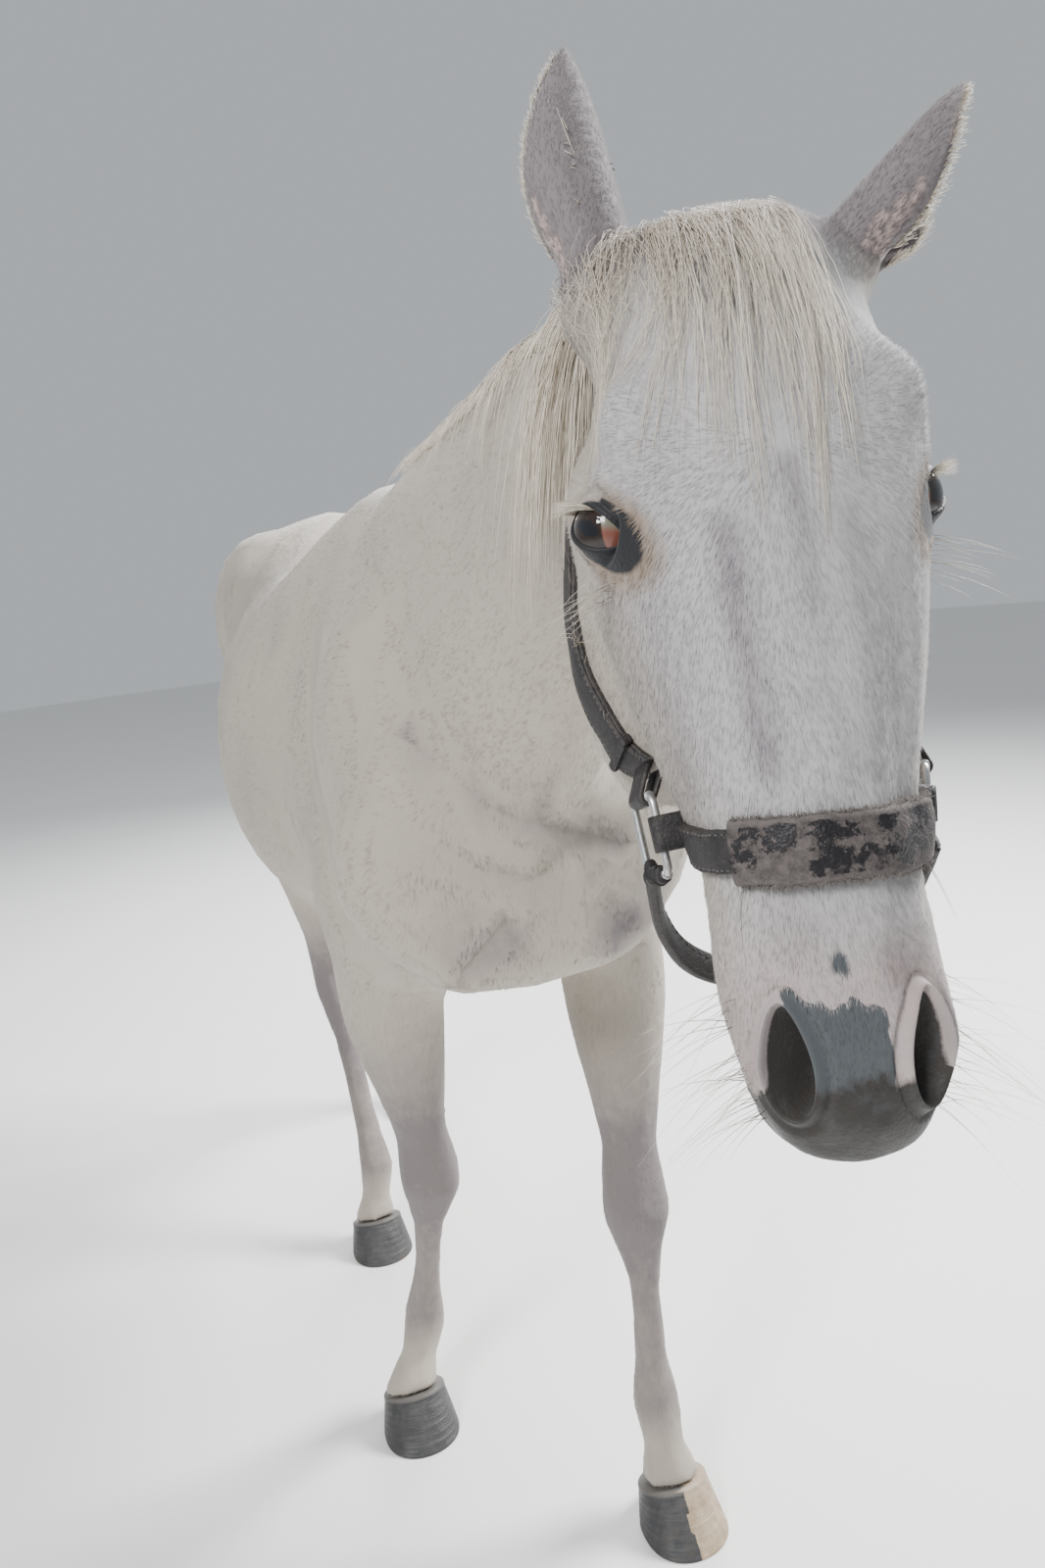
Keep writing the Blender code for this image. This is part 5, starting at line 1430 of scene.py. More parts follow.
def longFaceHair():
    roots, ways, lengths, bends, widths = [], [], [], [], []

    def grow(place, way, length, bend, width):
        near, _ = onSkin(place)
        roots.append(near)
        ways.append(unit(np.asarray(way, float) + rng.normal(0, 0.12, 3)))
        lengths.append(length)
        bends.append(np.asarray(bend, float))
        widths.append(width)

    for side in (-1, 1):
        for _ in range(46):  # whiskers on the lips, nostrils and chin
            down = rng.uniform(0.27, 0.355)
            out = rng.uniform(-0.05, 0.035)
            place = fromHead((side * 0.07, down, out))
            way = fromHead((side * 1.0, rng.uniform(-0.1, 0.7),
                            rng.uniform(-0.3, 0.6))) - np.array(headMiddle)
            grow(place, way, rng.uniform(0.02, 0.075), (0, 0, -0.25), 0.0006)
        for _ in range(14):  # long hairs under the eye
            place = fromHead((side * 0.10, 0.034 + rng.normal(0, 0.006), 0.012 + rng.normal(0, 0.012)))
            way = fromHead((side * 1.0, 0.35, 0.35)) - np.array(headMiddle)
            grow(place, way, rng.uniform(0.018, 0.05), (0, 0, -0.2), 0.0006)
        eye = np.array(middleOf("eye_left" if side > 0 else "eye_right"))
        wayAlong, upAlong, out = (np.array(a)
                                  for a in localAxes(side, lidPlan["axis"], lidPlan["along"]))
        for _ in range(150):  # lashes along the upper lid, thickest towards its outer half
            angle = rng.uniform(0.03, 0.50) * math.pi
            x = lidPlan["half"] * math.cos(angle) * 1.02
            y = lidPlan["upper"] * math.sin(angle) * 1.12
            z = math.sqrt(max(headPlan["eyeRadius"] ** 2 - x * x - y * y, 1e-5)) + 0.0016
            roots.append(eye + wayAlong * x + upAlong * y + out * z)
            ways.append(unit(out * 0.75 + wayAlong * 0.8 + upAlong * rng.uniform(-0.35, 0.25)
                             + rng.normal(0, 0.10, 3)))
            lengths.append(rng.uniform(0.008, 0.017))
            bends.append(-upAlong * 0.25)
            widths.append(0.0005)
    for _ in range(900):  # fringe of the jaw and throat
        share = rng.random()
        side = rng.choice((-1, 1))
        place = fromHead((side * rng.uniform(0.0, 0.075), -0.02 + 0.20 * share, -0.19 + 0.05 * share))
        way = fromHead((side * 0.25, 0.55, -0.75)) - np.array(headMiddle)
        grow(place, way, rng.uniform(0.008, 0.020), (0, 0, -0.3), 0.0008)
    fringe("faceHair", roots, ways, lengths, np.array(widths), bends, longHair)


maneMade()
forelockMade()
tailMade()
earHair()
earCoat()
longFaceHair()
print("long hair made")

# Hooves

hoofPlan = {
    "length": 0.124,
    "width": 0.116,
    "coronet": 0.053,
    "coronetBack": 0.092,
    "coronetRadius": 0.047,
    "slope": 19,
    "heights": (0, 0.012, 0.03, *(0.06 + 0.88 * k / 22 for k in range(23)), 0.965, 0.985, 1.0),
    "sole": (0.97, 0.90, 0.86, 0.84, 0.80, 0.70, 0.58, 0.45, 0.32, 0.2, 0.1),
}


def hornSurface():
    surface, shader, start, where = newMaterial("hoof horn")
    height, pale = (attributeOn(start, key) for key in ("along", "pale"))
    streak = noiseOn(where, 60, 4, 0.7, (1.0, 1.0, 0.05))
    rings = start.add("ShaderNodeTexNoise", {"noise_dimensions": "1D"},
                      {"W": height * 16.0, "Detail": 3.0})
    dirt = noiseOn(where, 34, 5, 0.65)
    dark = streak.step(0.3, 0.7).mix(rgb(0.018, 0.019, 0.022), rgb(0.055, 0.052, 0.050))
    light = streak.step(0.3, 0.7).mix(rgb(0.30, 0.215, 0.135), rgb(0.50, 0.39, 0.27))
    colour = (pale + (streak - 0.5) * 0.8).step(0.40, 0.60).mix(dark, light)
    colour = (height.step(0.945, 0.98) * 0.35).mix(colour, rgb(0.22, 0.20, 0.175))
    soil = (dirt.step(0.52, 0.68) * (1.05 - height)).step(0.1, 0.9) * 0.7
    colour = (soil * 0.6).mix(colour, rgb(0.095, 0.075, 0.052))
    bumps = rings * 1.0 + streak * 0.35 + dirt * 0.3
    feed(shader, start, Base_Color=colour, Roughness=0.42 + soil * 0.4,
         Normal=bumpFrom(start, bumps, 0.0012, 0.7))
    return surface


def hoofMade(word, surface):
    low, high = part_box("hoof_" + word)
    plan = hoofPlan
    toe = Vector(((low.x + high.x) / 2, low.y, 0))
    slope = math.radians(plan["slope"])
    sole = toe + Vector((0, plan["length"] / 2, 0))
    top = toe + Vector((0, plan["coronetBack"], plan["coronet"]))
    toeWay = Vector((0, -math.cos(slope), math.sin(slope)))
    lift = high.z - (top + toeWay * plan["coronetRadius"]).z
    top.z += lift
    bm = bmesh.new()
    sides, rings, notes = 72, [], []
    around = [math.tau * k / sides for k in range(sides)]

    def lowPoint(angle, share=1.0):
        c, s = math.cos(angle), math.sin(angle)
        return sole + Vector((plan["width"] / 2 * c,
                              -plan["length"] / 2 * math.copysign(abs(s) ** 0.8, s), 0)) * share

    for share in plan["heights"]:
        ring = []
        for angle in around:
            c, s = math.cos(angle), math.sin(angle)
            up = top + Vector((1, 0, 0)) * (plan["coronetRadius"]
                                            * c) + toeWay * (plan["coronetRadius"] * s)
            place = lowPoint(angle).lerp(up, share)
            away = Vector((c, -s, 0))
            ripple = 0.00045 * math.sin(share * 44 + 0.7 * math.sin(angle * 2)) * min(1,
                    share * 8) * (share < 0.94)
            ripple += 0.0011 * float(bump(share - 0.975, 0.02)) - 0.0022 * float(smoothStep(-share,
                    -0.02, 0.0))
            ripple -= 0.0012 * float(bump(angle - 1.5 * math.pi, 0.10)) * (1
                    - share)  # cleft between the heels
            ring.append(bm.verts.new(place + away * ripple))
            notes.append((share, 1.0 if word == "fore_left" and place.x > toe.x - 0.004 + 0.002
                          * math.sin(share * 9) else 0.0))
        rings.append(ring)
    bridged(bm, rings)
    previous = rings[0]
    for share in plan["sole"]:
        ring = []
        for angle in around:
            place = lowPoint(angle, share)
            hollow = 0.0045 * (1 - (share / 0.84) ** 2) if share < 0.84 else 0.0
            groove = 0.0012 * float(bump(share - 0.84, 0.02))
            back = place.y - sole.y
            frog = float(smoothStep(0.016 + 0.25 * (back - 0.01) - abs(place.x - sole.x), -0.002,
                                    0.003)) * (back > -0.02)
            cleft = 0.002 * float(bump(place.x - sole.x, 0.003)) * frog
            place.z = max(0.0, (hollow + groove) * (1 - 0.75 * frog) + cleft)
            ring.append(bm.verts.new(place))
            notes.append((0.0, 0.5 if word == "fore_left" and place.x > toe.x else 0.2))
        bridged(bm, [previous, ring])
        previous = ring
    bm.faces.new(previous)
    bm.faces.new(rings[-1])
    notes = np.array(notes)
    made = fromBmesh(bm, "hoof" + "".join(w.capitalize() for w in word.split("_")), surface)
    paint(made.data, {"along": notes[:, 0], "pale": notes[:, 1]})
    return finished(made, "hoof_horn", "hoof_" + word)


horn = hornSurface()
for word in ("fore_left", "fore_right", "hind_left", "hind_right"):
    hoofMade(word, horn)
print("hooves made")

# The halter

strapPlan = {
    "width": 0.024,
    "thickness": 0.0045,
    "padWidth": 0.034,
    "padThickness": 0.0075,
    "coat": 0.0016,
    "cheek": [(0.090, 0.146, -0.040), (0.104, 0.110, -0.054), (0.115, 0.060, -0.070),
              (0.113, 0, -0.074),
              (0.106, -0.060, -0.074), (0.094, -0.120, -0.062), (0.090, -0.160, -0.062)],
    "crown": [(0.088, -0.168, -0.062), (0.068, -0.192, -0.068), (0.036, -0.208, -0.076),
              (0, -0.212, -0.080),
              (-0.036, -0.208, -0.076), (-0.068, -0.192, -0.068), (-0.088, -0.168, -0.062)],
    "nose": [(-0.068, 0.182, -0.020), (-0.062, 0.190, 0.012), (-0.056, 0.1935, 0.030),
             (-0.046, 0.1965, 0.048)],
    "pad": [(-0.0500, 0.1960, 0.042), (-0.036, 0.1985, 0.057), (-0.020, 0.200, 0.062),
            (0, 0.200, 0.064), (0.020, 0.200, 0.062),
            (0.040, 0.199, 0.055), (0.054, 0.195, 0.038), (0.062, 0.190, 0.012),
            (0.066, 0.184, -0.014)],
    "chin": [(0.0850, 0.196, -0.036), (0.0835, 0.206, -0.050), (0.0775, 0.228, -0.078),
             (0.0620, 0.249, -0.105),
             (0.0350, 0.263, -0.124), (0, 0.268, -0.130)],
    # the outline across a strap of two layers: share of the half width, share of the thickness
    "outline": [(-0.98, -0.1), (-1.01, 0.12), (-1.01, 0.36), (-0.965, 0.46), (-0.965, 0.52),
                (-1.0, 0.62), (-0.99, 0.86),
                (-0.94, 0.985), (-0.88, 0.99), (-0.82, 0.90), (-0.76, 0.99), (-0.5, 1.03),
                (-0.2, 1.05)],
    "padOutline": [(-0.95, -0.1), (-1.03, 0.08), (-1.06, 0.26), (-1.05, 0.46), (-1.0, 0.66),
                   (-0.92, 0.80), (-0.82, 0.88),
                   (-0.74, 0.86), (-0.62, 0.94), (-0.42, 1.0), (-0.2, 1.03)],
}


def leatherSurface(name, suede=False):
    surface, shader, start, where = newMaterial(name)
    across, along = (attributeOn(start, key) for key in ("across", "along"))
    grain = start.add("ShaderNodeTexVoronoi", None, {"Vector": where, "Scale": 520.0}, output=0)
    blotch = noiseOn(where, 46, 6, 0.7)
    wear = noiseOn(where, 160, 4, 0.75)
    crack = start.add("ShaderNodeTexVoronoi", {"feature": "DISTANCE_TO_EDGE"},
                      {"Vector": where, "Scale": 330.0}, output=0)
    edge = (across * across).step(0.62, 1.02)
    if suede:
        colour = wear.step(0.35, 0.65).mix(rgb(0.050, 0.042, 0.042), rgb(0.115, 0.098, 0.092))
        bare = (blotch - edge * 0.25 + along * 0.03).step(0.52, 0.545)
        flake = (wear + crack * 1.2).step(0.44, 0.52)
        colour = (bare * flake).mix(colour, rgb(0.009, 0.008, 0.010))
        colour = ((across * across).step(0.70, 0.95) * 0.6).mix(colour, rgb(0.15, 0.13, 0.122))
        rough = 0.92 - bare * flake * 0.42
        height = wear * 0.8 + grain * 0.4 - bare * flake * 0.5
        bumpy = bumpFrom(start, height, 0.0011, 0.9)
    else:
        colour = blotch.step(0.35, 0.7).mix(rgb(0.008, 0.007, 0.008), rgb(0.022, 0.018, 0.018))
        colour = ((wear - 0.46 + edge * 0.12).step(0.06, 0.22) * 0.35).mix(colour,
                rgb(0.085, 0.070, 0.060))
        rough = 0.44 + wear * 0.34
        creases = noiseOn(where, 260, 3, 0.6)
        bumpy = bumpFrom(start, grain * 0.45 + creases * 0.5 - crack.step(0.0, 0.05) * -0.2, 0.0007,
                         0.8)
    feed(shader, start, Base_Color=colour, Roughness=rough, Normal=bumpy,
         Specular_IOR_Level=0.35 if suede else 0.5)
    return surface


def threadSurface():
    surface, shader, start, where = newMaterial("waxed thread")
    twist = noiseOn(where, 900, 2)
    feed(shader, start, Base_Color=twist.mix(rgb(0.05, 0.045, 0.04), rgb(0.15, 0.135, 0.12)),
         Roughness=0.75)
    return surface


blackLeather = leatherSurface("black leather")
wornSuede = leatherSurface("worn suede", True)
stitchThread = threadSurface()


def joinedInto(made, others):
    with bpy.context.temp_override(active_object=made, selected_editable_objects=[made, *others]):
        bpy.ops.object.join()
    return made


def stationsOn(route, count):
    line = [Vector(p) for p in splineThrough([tuple(headPoint(*row)) for row in route], count)]
    stations = []
    for k, place in enumerate(line):
        along = (line[min(k + 1, count - 1)] - line[max(k - 1, 0)]).normalized()
        foot, up = skinTree.find_nearest(place)[:2]
        stations.append([foot, along, up])
    for _ in range(10):  # calm the way up and the feet
        ups = [s[2] for s in stations]
        feet = [s[0] for s in stations]
        for k in range(1, count - 1):
            stations[k][2] = (ups[k - 1] + ups[k] * 2 + ups[k + 1]).normalized()
            stations[k][0] = (feet[k - 1] + feet[k] * 2 + feet[k + 1]) / 4
    return stations


def strapMade(name, route, width, thickness, outline, surface, seed=0.0, stitched=True, sag=1.0):
    count = max(24, int(600 * sum((headPoint(*a) - headPoint(*b)).length for a,
                                  b in zip(route, route[1:]))))
    stations = stationsOn(route, count)
    outline = outline + [(-x, h) for x, h in outline[::-1]]
    bm = bmesh.new()
    rings, notes, seams = [], [], ([], [])
    for k, (foot, along, up) in enumerate(stations):
        side = along.cross(up).normalized()
        up = side.cross(along).normalized()
        share = k / (count - 1)
        wobble = 1 + 0.018 * math.sin(share * 17 + seed) + 0.012 * math.sin(share * 43 + seed * 2)
        ring = []
        for x, h in outline:
            place = foot + side * (width / 2 * x * wobble)
            near = skinTree.find_nearest(place)[0]
            gap = (near - place).dot(up)
            place += up * (max(min(gap, 0.006), -0.0035) * sag)
            lumpy = 0.00018 * math.sin(share * 61 + x * 5 + seed)
            place += up * (strapPlan["coat"] + thickness * h + lumpy * (h > 0.8))
            if h < 0:
                place -= up * 0.0022
            ring.append(bm.verts.new(place))
            notes.append((x, share))
        rings.append(ring)
        for seam, row in zip(seams, (9, len(outline) - 10)):
            seam.append((ring[row].co.copy(), along, up))
    bridged(bm, rings)
    for ring in (rings[0][::-1], rings[-1]):
        bm.faces.new(ring)
    bmesh.ops.triangulate(bm, faces=[f for f in bm.faces if len(f.verts) > 4])
    notes = np.array(notes)
    made = fromBmesh(bm, name, surface)
    paint(made.data, {"across": notes[:, 0], "along": notes[:, 1]})
    if stitched:
        bm = bmesh.new()
        step = 3
        for seam in seams:
            for place, along, up in seam[2:-2:step]:
                side = along.cross(up)
                turn = Matrix((along * 0.00185, side * 0.00055, up * 0.00050)).transposed().to_4x4()
                bmesh.ops.create_icosphere(bm, subdivisions=1, radius=1,
                                           matrix=Matrix.Translation(place + up * 0.0001) @ turn)
        joinedInto(made, [fromBmesh(bm, name + "Stitch", stitchThread)])
    return made, stations


def loopBand(name, barMiddle, barAxis, towards, away, width, reach, surface, bar=0.0030, layer=0.0024):
    away = (away - towards * away.dot(towards)).normalized()
    bm = bmesh.new()
    path = [towards * reach + away * (bar + 0.0006), towards * (reach * 0.5) + away * (bar + 0.0004)]
    for k in range(13):
        angle = math.pi / 2 + math.pi * k / 12
        path.append(away * (math.sin(angle) * bar) + towards * (math.cos(angle) * bar))
    path += [towards * (reach * 0.5) - away * (bar + 0.0004), towards * reach - away * (bar + 0.0006)]
    offs = [away] * 2 + [place.normalized() for place in path[2:-2]] + [-away] * 2
    rings, notes = [], []
    for k, (place, off) in enumerate(zip(path, offs)):
        ring = []
        for x, h in ((-1, 0.0), (-1.01, 0.5), (-0.97, 1.0), (-0.5, 1.06), (0.5, 1.06), (0.97, 1.0),
                     (1.01, 0.5), (1, 0.0)):
            ring.append(bm.verts.new(barMiddle + place + barAxis * (width / 2 * x) + off * (layer * h)))
            notes.append((x, k / len(path)))
        rings.append(ring)
    bridged(bm, rings)
    bm.faces.new(rings[0][::-1])
    bm.faces.new(rings[-1])
    notes = np.array(notes)
    made = fromBmesh(bm, name, surface)
    paint(made.data, {"across": notes[:, 0], "along": notes[:, 1]})
    return made


def loopTo(name, station, middle, wide, long, away):
    foot, _, up = station
    front = wide if wide.dot(foot - middle) > 0 else -wide
    bar = middle + front * ringPlan["halfWide"]
    gap = foot + up * 0.0035 - bar
    towards = (gap - long * gap.dot(long)).normalized()
    return loopBand(name, bar, long, towards, away, 0.0215, gap.length + 0.006, blackLeather)


ringPlan = {"middle": (0.083, 0.176, -0.034), "halfLong": 0.0235, "halfWide": 0.0165, "wire": 0.0026}


def ringAxes(side):
    across, below, before = ringPlan["middle"]
    middle = headPoint(across * side, below, before)
    away = Vector(fromHead((0.95 * side, 0.10, 0.22)) - np.array(headMiddle)).normalized()
    long = Vector(fromHead((0, 1.0, 0)) - np.array(headMiddle))
    long = (long - away * long.dot(away)).normalized()
    return middle, long, long.cross(away).normalized(), away


def steelSurface():
    surface, shader, start, where = newMaterial("galvanised steel")
    cloudy = noiseOn(where, 120, 4, 0.6)
    scratch = noiseOn(where, 420, 3, 0.7, (1.0, 0.2, 1.0))
    rust = noiseOn(where, 75, 5, 0.7).step(0.60, 0.70)
    colour = cloudy.mix(rgb(0.42, 0.42, 0.43), rgb(0.68, 0.68, 0.67))
    colour = (rust * 0.55).mix(colour, rgb(0.17, 0.10, 0.055))
    feed(shader, start, Base_Color=colour, Metallic=0.95 - rust * 0.5,
         Roughness=0.26 + cloudy * 0.2 + rust * 0.3,
         Normal=bumpFrom(start, scratch + cloudy, 0.0003, 0.5))
    return surface


steel = steelSurface()


def wireLoop(bm, middle, long, wide, halfLong, halfWide, bar, corner, sides=12):
    route = []
    for sx, sy, first in ((1, 1, 0), (-1, 1, 90), (-1, -1, 180), (1, -1, 270)):
        for k in range(9):
            angle = math.radians(first + 90 * k / 8)
            route.append((sx * (halfLong - corner) + corner * math.cos(angle),
                          sy * (halfWide - corner) + corner * math.sin(angle)))
    full = []
    for (x, y), (p, q) in zip(route, route[1:] + route[:1]):
        gap = math.hypot(p - x, q - y)
        pieces = max(1, int(gap / 0.004))
        full += [(x + (p - x) * k / pieces, y + (q - y) * k / pieces) for k in range(pieces)]
    normal = long.cross(wide).normalized()
    rings = []
    for k, (x, y) in enumerate(full):
        before, after = full[k - 1], full[(k + 1) % len(full)]
        along = (long * (after[0] - before[0]) + wide * (after[1] - before[1])).normalized()
        off = along.cross(normal).normalized()
        place = middle + long * x + wide * y
        ring = []
        for m in range(sides):
            angle = math.tau * m / sides
            thick = bar * (1 + 0.03 * math.sin(k * 0.9 + m))
            ring.append(bm.verts.new(place + off * (math.cos(angle) * thick) + normal
                                     * (math.sin(angle) * thick)))
        rings.append(ring)
    bridged(bm, rings + rings[:1])


def collar(bm, place, along, bar, reach):
    turn = along.to_track_quat("Z", "Y").to_matrix().to_4x4()
    made = bmesh.ops.create_cone(bm, cap_ends=True, segments=16, radius1=bar * 1.28, radius2=bar * 1.28,
                                 depth=reach,
                                 matrix=Matrix.Translation(place) @ turn)
    edges = {e for v in made["verts"] for e in v.link_edges}
    bmesh.ops.bevel(bm, geom=list(edges), offset=bar * 0.22, segments=2, profile=0.6, affect="EDGES")


def ringMade(side, word):
    middle, long, wide, _ = ringAxes(side)
    bm = bmesh.new()
    halfLong, wire = ringPlan["halfLong"], ringPlan["wire"]
    wireLoop(bm, middle, long, wide, halfLong, ringPlan["halfWide"], wire, 0.006)
    for sx, sy in ((-1, -1), (-1, 1), (1, -1), (1, 1)):
        collar(bm, middle + long * (halfLong * sx) + wide * (0.0128 * sy), wide, wire, 0.0022)
    made = fromBmesh(bm, "ring" + word.capitalize(), steel)
    return finished(made, "steel", "halter_ring_" + word)


def halterMade():
    plan = strapPlan
    mirror = [(-x, d, o) for x, d, o in plan["cheek"]]
    leather = (plan["width"], plan["thickness"], plan["outline"], blackLeather)
    made, _ = strapMade("crownStrap", plan["crown"], *leather, 0.4)
    finished(made, "leather", "halter_crown")
    buckleAt = None
    for side, word, route in ((1, "left", plan["cheek"]), (-1, "right", mirror)):
        made, stations = strapMade("cheekStrap" + word.capitalize(), route, *leather, side * 1.3)
        middle, long, wide, away = ringAxes(side)
        bar = middle - long * ringPlan["halfLong"]
        towards = (stations[2][0] + stations[2][2] * 0.004 - bar).normalized()
        extra = [loopBand("cheekLoop", bar, wide, (towards - wide * towards.dot(wide)).normalized(),
                          away, 0.021, 0.020, blackLeather)]
        keeper = stations[int(len(stations) * 0.12)]
        extra.append(keeperMade(keeper, plan["width"], plan["thickness"]))
        joinedInto(made, extra)
        finished(made, "leather", "halter_cheek_" + word)
        if side > 0:
            spotNear = headPoint(0.113, 0.020, -0.074)
            buckleAt = min(stations, key=lambda s: (s[0] - spotNear).length)
    made, stations = strapMade("noseband", plan["nose"], *leather, 2.2)
    middle, long, wide, away = ringAxes(-1)
    joinedInto(made, [loopTo("noseLoop", stations[0], middle, wide, long, away)])
    finished(made, "leather", "halter_noseband")
    made, stations = strapMade("nosePad", plan["pad"], plan["padWidth"], plan["padThickness"],
                               plan["padOutline"], wornSuede,
                               3.1, stitched=False)
    middle, long, wide, away = ringAxes(1)
    joinedInto(made, [loopTo("padLoop", stations[-1], middle, wide, long, away)])
    finished(made, "nose_pad", "halter_nose_pad")
    padFuzz(stations)
    chinMade()
    ringMade(1, "left")
    ringMade(-1, "right")
    buckleMade(buckleAt)


def keeperMade(station, width, thickness):
    foot, along, up = station
    side = along.cross(up).normalized()
    bm = bmesh.new()
    wireLoop(bm, foot + up * (strapPlan["coat"] + thickness * 0.5), side, up, width / 2 + 0.0016,
             thickness / 2 + 0.0014,
             0.0013, 0.0016, 8)
    for vertex in bm.verts:  # a flat leather keeper, wider than it is thick
        gap = (vertex.co - foot).dot(along)
        vertex.co += along * gap * 1.7
    made = fromBmesh(bm, "keeper", blackLeather)
    count = len(made.data.vertices)
    paint(made.data, {"across": np.zeros(count), "along": np.zeros(count)})
    return made


def chinMade():
    half = strapPlan["chin"]
    route = half + [(-x, d, o) for x, d, o in half[-2::-1]]
    line = [Vector(p) for p in splineThrough([tuple(headPoint(*row)) for row in route], 150)]
    tall = -Vector(fromHead((0, 1.0, 0)) - np.array(headMiddle)).normalized()
    bm = bmesh.new()
    rings, notes, seam = [], [], []
    for k, place in enumerate(line):
        along = (line[min(k + 1, 149)] - line[max(k - 1, 0)]).normalized()
        up = (tall - along * tall.dot(along)).normalized()
        side = along.cross(up)
        ring = []
        for m in range(28):
            angle = math.tau * m / 28
            c, s = math.cos(angle), math.sin(angle)
            x = 0.0043 * math.copysign(abs(c) ** 0.75, c)
            y = 0.0094 * math.copysign(abs(s) ** 0.75, s)
            groove = 0.0007 * math.exp(-((y - 0.0055) / 0.0009) ** 2) + 0.0009 * math.exp(-((y
                    + 0.0068) / 0.0007) ** 2)
            x -= math.copysign(groove, c)
            ring.append(bm.verts.new(place + side * x + up * y * (1 + 0.02 * math.sin(k * 0.21))))
            notes.append((y / 0.0094, k / 149))
        rings.append(ring)
        if k % 3 == 1:
            for sign in (1, -1):
                seam.append((place + side * 0.0038 * sign + up * 0.0055, along, side * sign))
    bridged(bm, rings)
    bm.faces.new(rings[0][::-1])
    bm.faces.new(rings[-1])
    bmesh.ops.triangulate(bm, faces=[f for f in bm.faces if len(f.verts) > 4])
    made = fromBmesh(bm, "chinStrap", blackLeather)
    notes = np.array(notes)
    paint(made.data, {"across": notes[:, 0], "along": notes[:, 1]})
    bm = bmesh.new()
    for place, along, up in seam:
        turn = Matrix((along * 0.0019, along.cross(up) * 0.00055, up * 0.0005)).transposed().to_4x4()
        bmesh.ops.create_icosphere(bm, subdivisions=1, radius=1,
                                   matrix=Matrix.Translation(place) @ turn)
    extra = [fromBmesh(bm, "chinStitch", stitchThread)]
    for side, following in ((1, line[6]), (-1, line[-7])):
        middle, long, wide, _ = ringAxes(side)
        bar = middle + long * ringPlan["halfLong"]
        bm = bmesh.new()
        collar(bm, bar, wide, 0.0042, 0.0165)
        collar(bm, bar.lerp(following, 0.45), (following - bar).normalized(), 0.0052, 0.010)
        wrap = fromBmesh(bm, "chinLoop", blackLeather)
        paint(wrap.data, {key: np.zeros(len(wrap.data.vertices)) for key in ("across", "along")})
        extra.append(wrap)
    joinedInto(made, extra)
    return finished(made, "leather", "halter_chin_strap")


def buckleMade(station):
    foot, along, up = station
    side = along.cross(up).normalized()
    middle = foot + up * (strapPlan["coat"] + strapPlan["thickness"] + 0.0026)
    bm = bmesh.new()
    wireLoop(bm, middle, along, side, 0.016, 0.016, 0.0020, 0.005)
    turn = side.to_track_quat("Z", "Y").to_matrix().to_4x4()
    bmesh.ops.create_cone(bm, cap_ends=True, segments=14, radius1=0.0017, radius2=0.0017, depth=0.031,
                          matrix=Matrix.Translation(middle) @ turn)
    turn = along.to_track_quat("Z", "Y").to_matrix().to_4x4()
    bmesh.ops.create_cone(bm, cap_ends=True, segments=14, radius1=0.0015, radius2=0.0011, depth=0.0185,
                          matrix=Matrix.Translation(middle + along * 0.0085 + up * 0.0012) @ turn)
    bmesh.ops.create_uvsphere(bm, u_segments=14, v_segments=8, radius=0.0026,
                              matrix=Matrix.Translation(middle))
    made = fromBmesh(bm, "buckle", steel)
    return finished(made, "steel", "halter_buckle")


def padFuzz(stations):
    roots, ways, lengths, bends = [], [], [], []
    for foot, along, up in stations[1:-1]:
        side = along.cross(up).normalized()
        for sign in (-1, 1):
            for _ in range(14):
                x = sign * strapPlan["padWidth"] / 2 * rng.uniform(0.93, 1.06)
                h = strapPlan["coat"] + strapPlan["padThickness"] * rng.uniform(0.05, 0.7)
                roots.append(foot + side * x + up * h + along * rng.normal(0, 0.0012))
                ways.append(unit(np.array(side) * sign * 0.8 + np.array(up) * rng.uniform(-0.3, 0.7)
                                 + rng.normal(0, 0.4, 3)))
                lengths.append(rng.uniform(0.0012, 0.0038))
                bends.append(rng.normal(0, 0.3, 3))
    for at, count in ((-4, 5), (-12, 3), (2, 3)):  # loose threads
        foot, along, up = stations[at]
        side = along.cross(up).normalized()
        for _ in range(count):
            roots.append(foot + side * strapPlan["padWidth"] * 0.5 + up * 0.004)
            ways.append(unit(np.array((0, 0, -0.8)) + np.array(up) * 0.5 + rng.normal(0, 0.3, 3)))
            lengths.append(rng.uniform(0.012, 0.034))
            bends.append(np.array((0, 0, -0.5)) + rng.normal(0, 0.25, 3))
    count = len(roots)
    fringe("padFuzz", roots, ways, lengths, rng.uniform(0.00035, 0.0007, count),
           bends, fuzzThread, "nose_pad", steps=5)


def fuzzSurface():
    surface, shader, start, where = newMaterial("frayed fibre")
    tone = noiseOn(where, 300, 2)
    feed(shader, start, Base_Color=tone.mix(rgb(0.10, 0.085, 0.08), rgb(0.26, 0.235, 0.215)),
         Roughness=0.9)
    return surface


fuzzThread = fuzzSurface()
halterMade()


def strapThreads():
    roots, ways, lengths, bends = [], [], [], []
    route = [(-x, d, o) for x, d, o in strapPlan["cheek"]]
    stations = stationsOn(route, 90)
    for at, number in ((30, 12), (33, 16), (36, 8), (46, 4), (60, 3), (18, 3)):
        foot, along, up = stations[at]
        side = along.cross(up).normalized()
        for _ in range(number):
            sign = rng.choice((-1, 1))
            roots.append(foot + side * (0.0118 * sign) + up * rng.uniform(0.0025, 0.0058) + along
                         * rng.normal(0, 0.003))
            ways.append(unit(np.array(side) * sign + np.array(up) * rng.uniform(0, 0.8)
                             + rng.normal(0, 0.5, 3)))
            lengths.append(rng.uniform(0.004, 0.014))
            bends.append(rng.normal(0, 0.5, 3) + np.array((0, 0, -0.3)))
    count = len(roots)
    fringe("strapThreads", roots, ways, lengths, np.full(count, 0.0004), bends,
           longHair, "leather", steps=6)


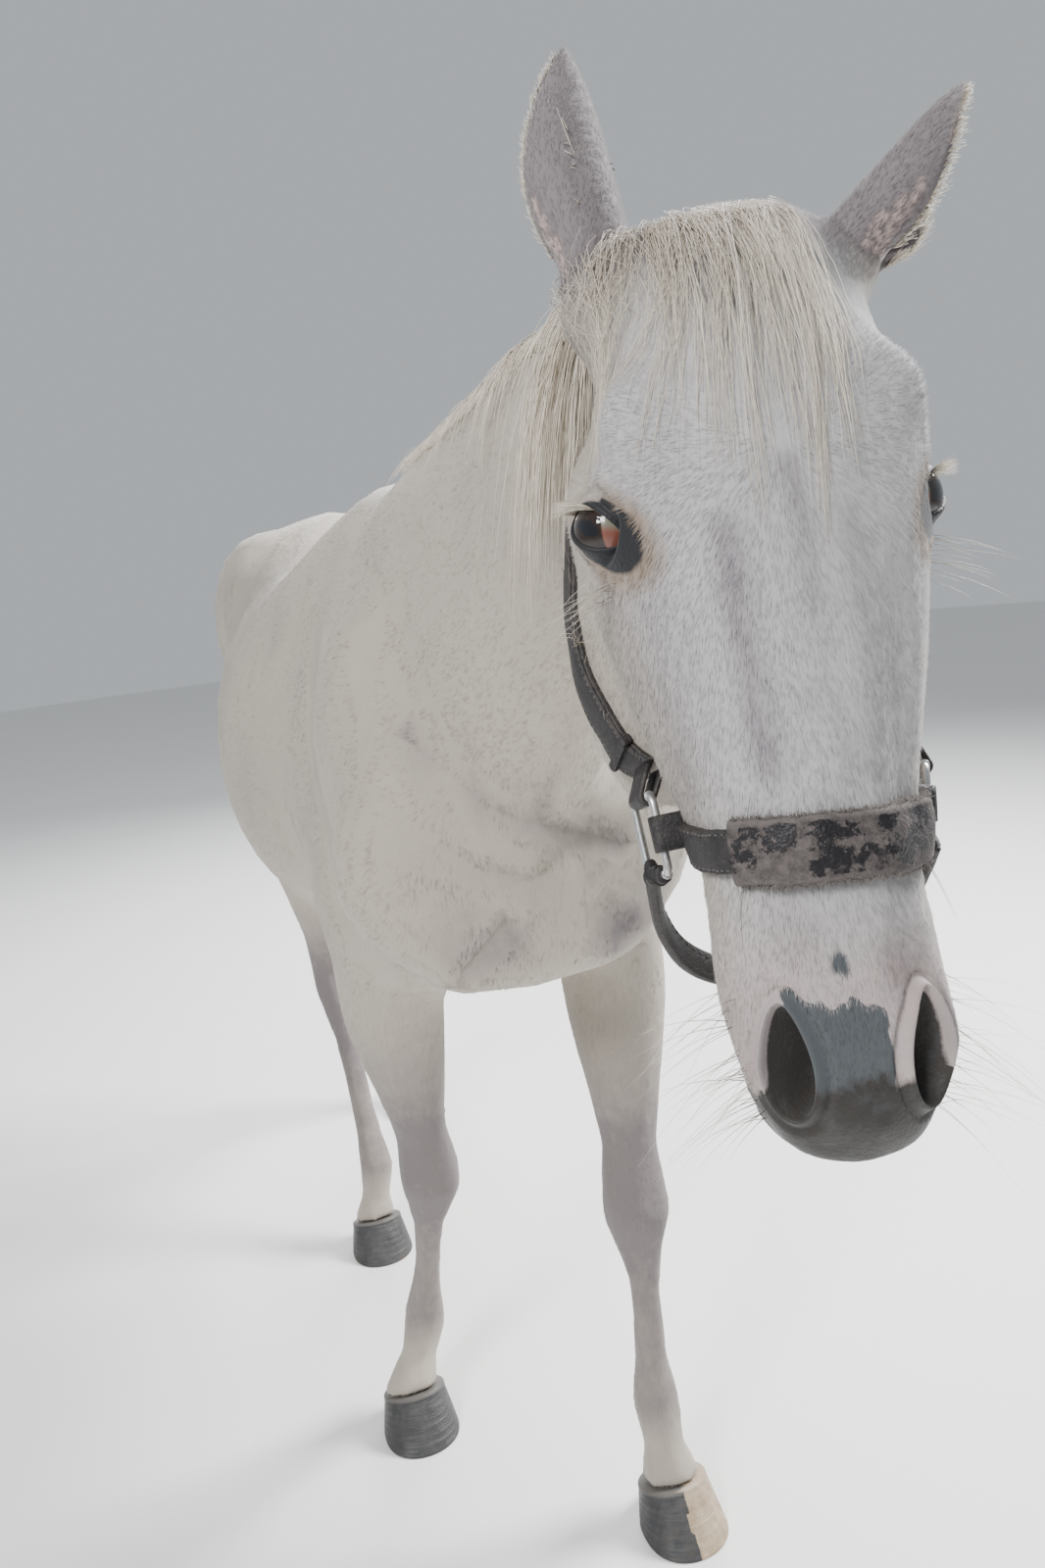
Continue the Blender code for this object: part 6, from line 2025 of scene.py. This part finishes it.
strapThreads()
print("halter made")

# Floor, light and camera

viewPlan = {
    "eye": (-0.3637, -1.6290, 1.332),
    "turn": 16.7,
    "tilt": 11.7,
    "roll": 6.2,
    "lens": 26.33,
    "key": {"place": (-2.3, -2.3, 3.3), "size": 1.1, "power": 150},
    "fill": {"place": (2.9, 0.2, 3.3), "size": 1.2, "power": 400},
    "back": {"place": (1.0, 3.4, 3.2), "size": 2.4, "power": 260},
}


def cameraSet():
    plan = viewPlan
    turn, tilt, roll = (math.radians(plan[key]) for key in ("turn", "tilt", "roll"))
    forward = Vector((math.sin(turn), math.cos(turn), 0))
    right = Vector((math.cos(turn), -math.sin(turn), 0))
    up = Vector((0, 0, 1))
    look = forward * math.cos(tilt) - up * math.sin(tilt)
    down = -(up * math.cos(tilt) + forward * math.sin(tilt))
    rightRolled = right * math.cos(roll) + down * math.sin(roll)
    downRolled = down * math.cos(roll) - right * math.sin(roll)
    made = bpy.data.objects.new("camera", bpy.data.cameras.new("camera"))
    bpy.context.scene.collection.objects.link(made)
    made.data.lens = plan["lens"]
    made.data.sensor_width = 36
    made.data.clip_start = 0.02
    made.matrix_world = Matrix.Translation(plan["eye"]) @ Matrix((rightRolled, -downRolled,
            -look)).transposed().to_4x4()
    bpy.context.scene.camera = made


def lampsSet():
    for word in ("key", "fill", "back"):
        plan = viewPlan[word]
        lamp = bpy.data.lights.new(word, "AREA")
        lamp.energy = plan["power"]
        lamp.size = plan["size"]
        made = bpy.data.objects.new(word, lamp)
        bpy.context.scene.collection.objects.link(made)
        made.location = plan["place"]
        made.rotation_mode = "QUATERNION"
        made.rotation_quaternion = (Vector((0, -0.2, 0.95)) - made.location).to_track_quat("-Z", "Y")
    world = bpy.data.worlds.new("studio")
    world.use_nodes = True
    world.node_tree.nodes["Background"].inputs["Color"].default_value = rgb(0.90, 0.95, 1.0)
    world.node_tree.nodes["Background"].inputs["Strength"].default_value = 0.52
    bpy.context.scene.world = world


def floorLaid():
    surface, shader, start, where = newMaterial("studio floor")
    tone = noiseOn(where, 1.5, 3).mix(rgb(0.78, 0.78, 0.77), rgb(0.82, 0.82, 0.81))
    feed(shader, start, Base_Color=tone, Roughness=0.8)
    bm = bmesh.new()
    bmesh.ops.create_circle(bm, cap_ends=True, segments=96, radius=14)
    floor = fromBmesh(bm, "floor", surface, smooth=False)


cameraSet()
lampsSet()
floorLaid()
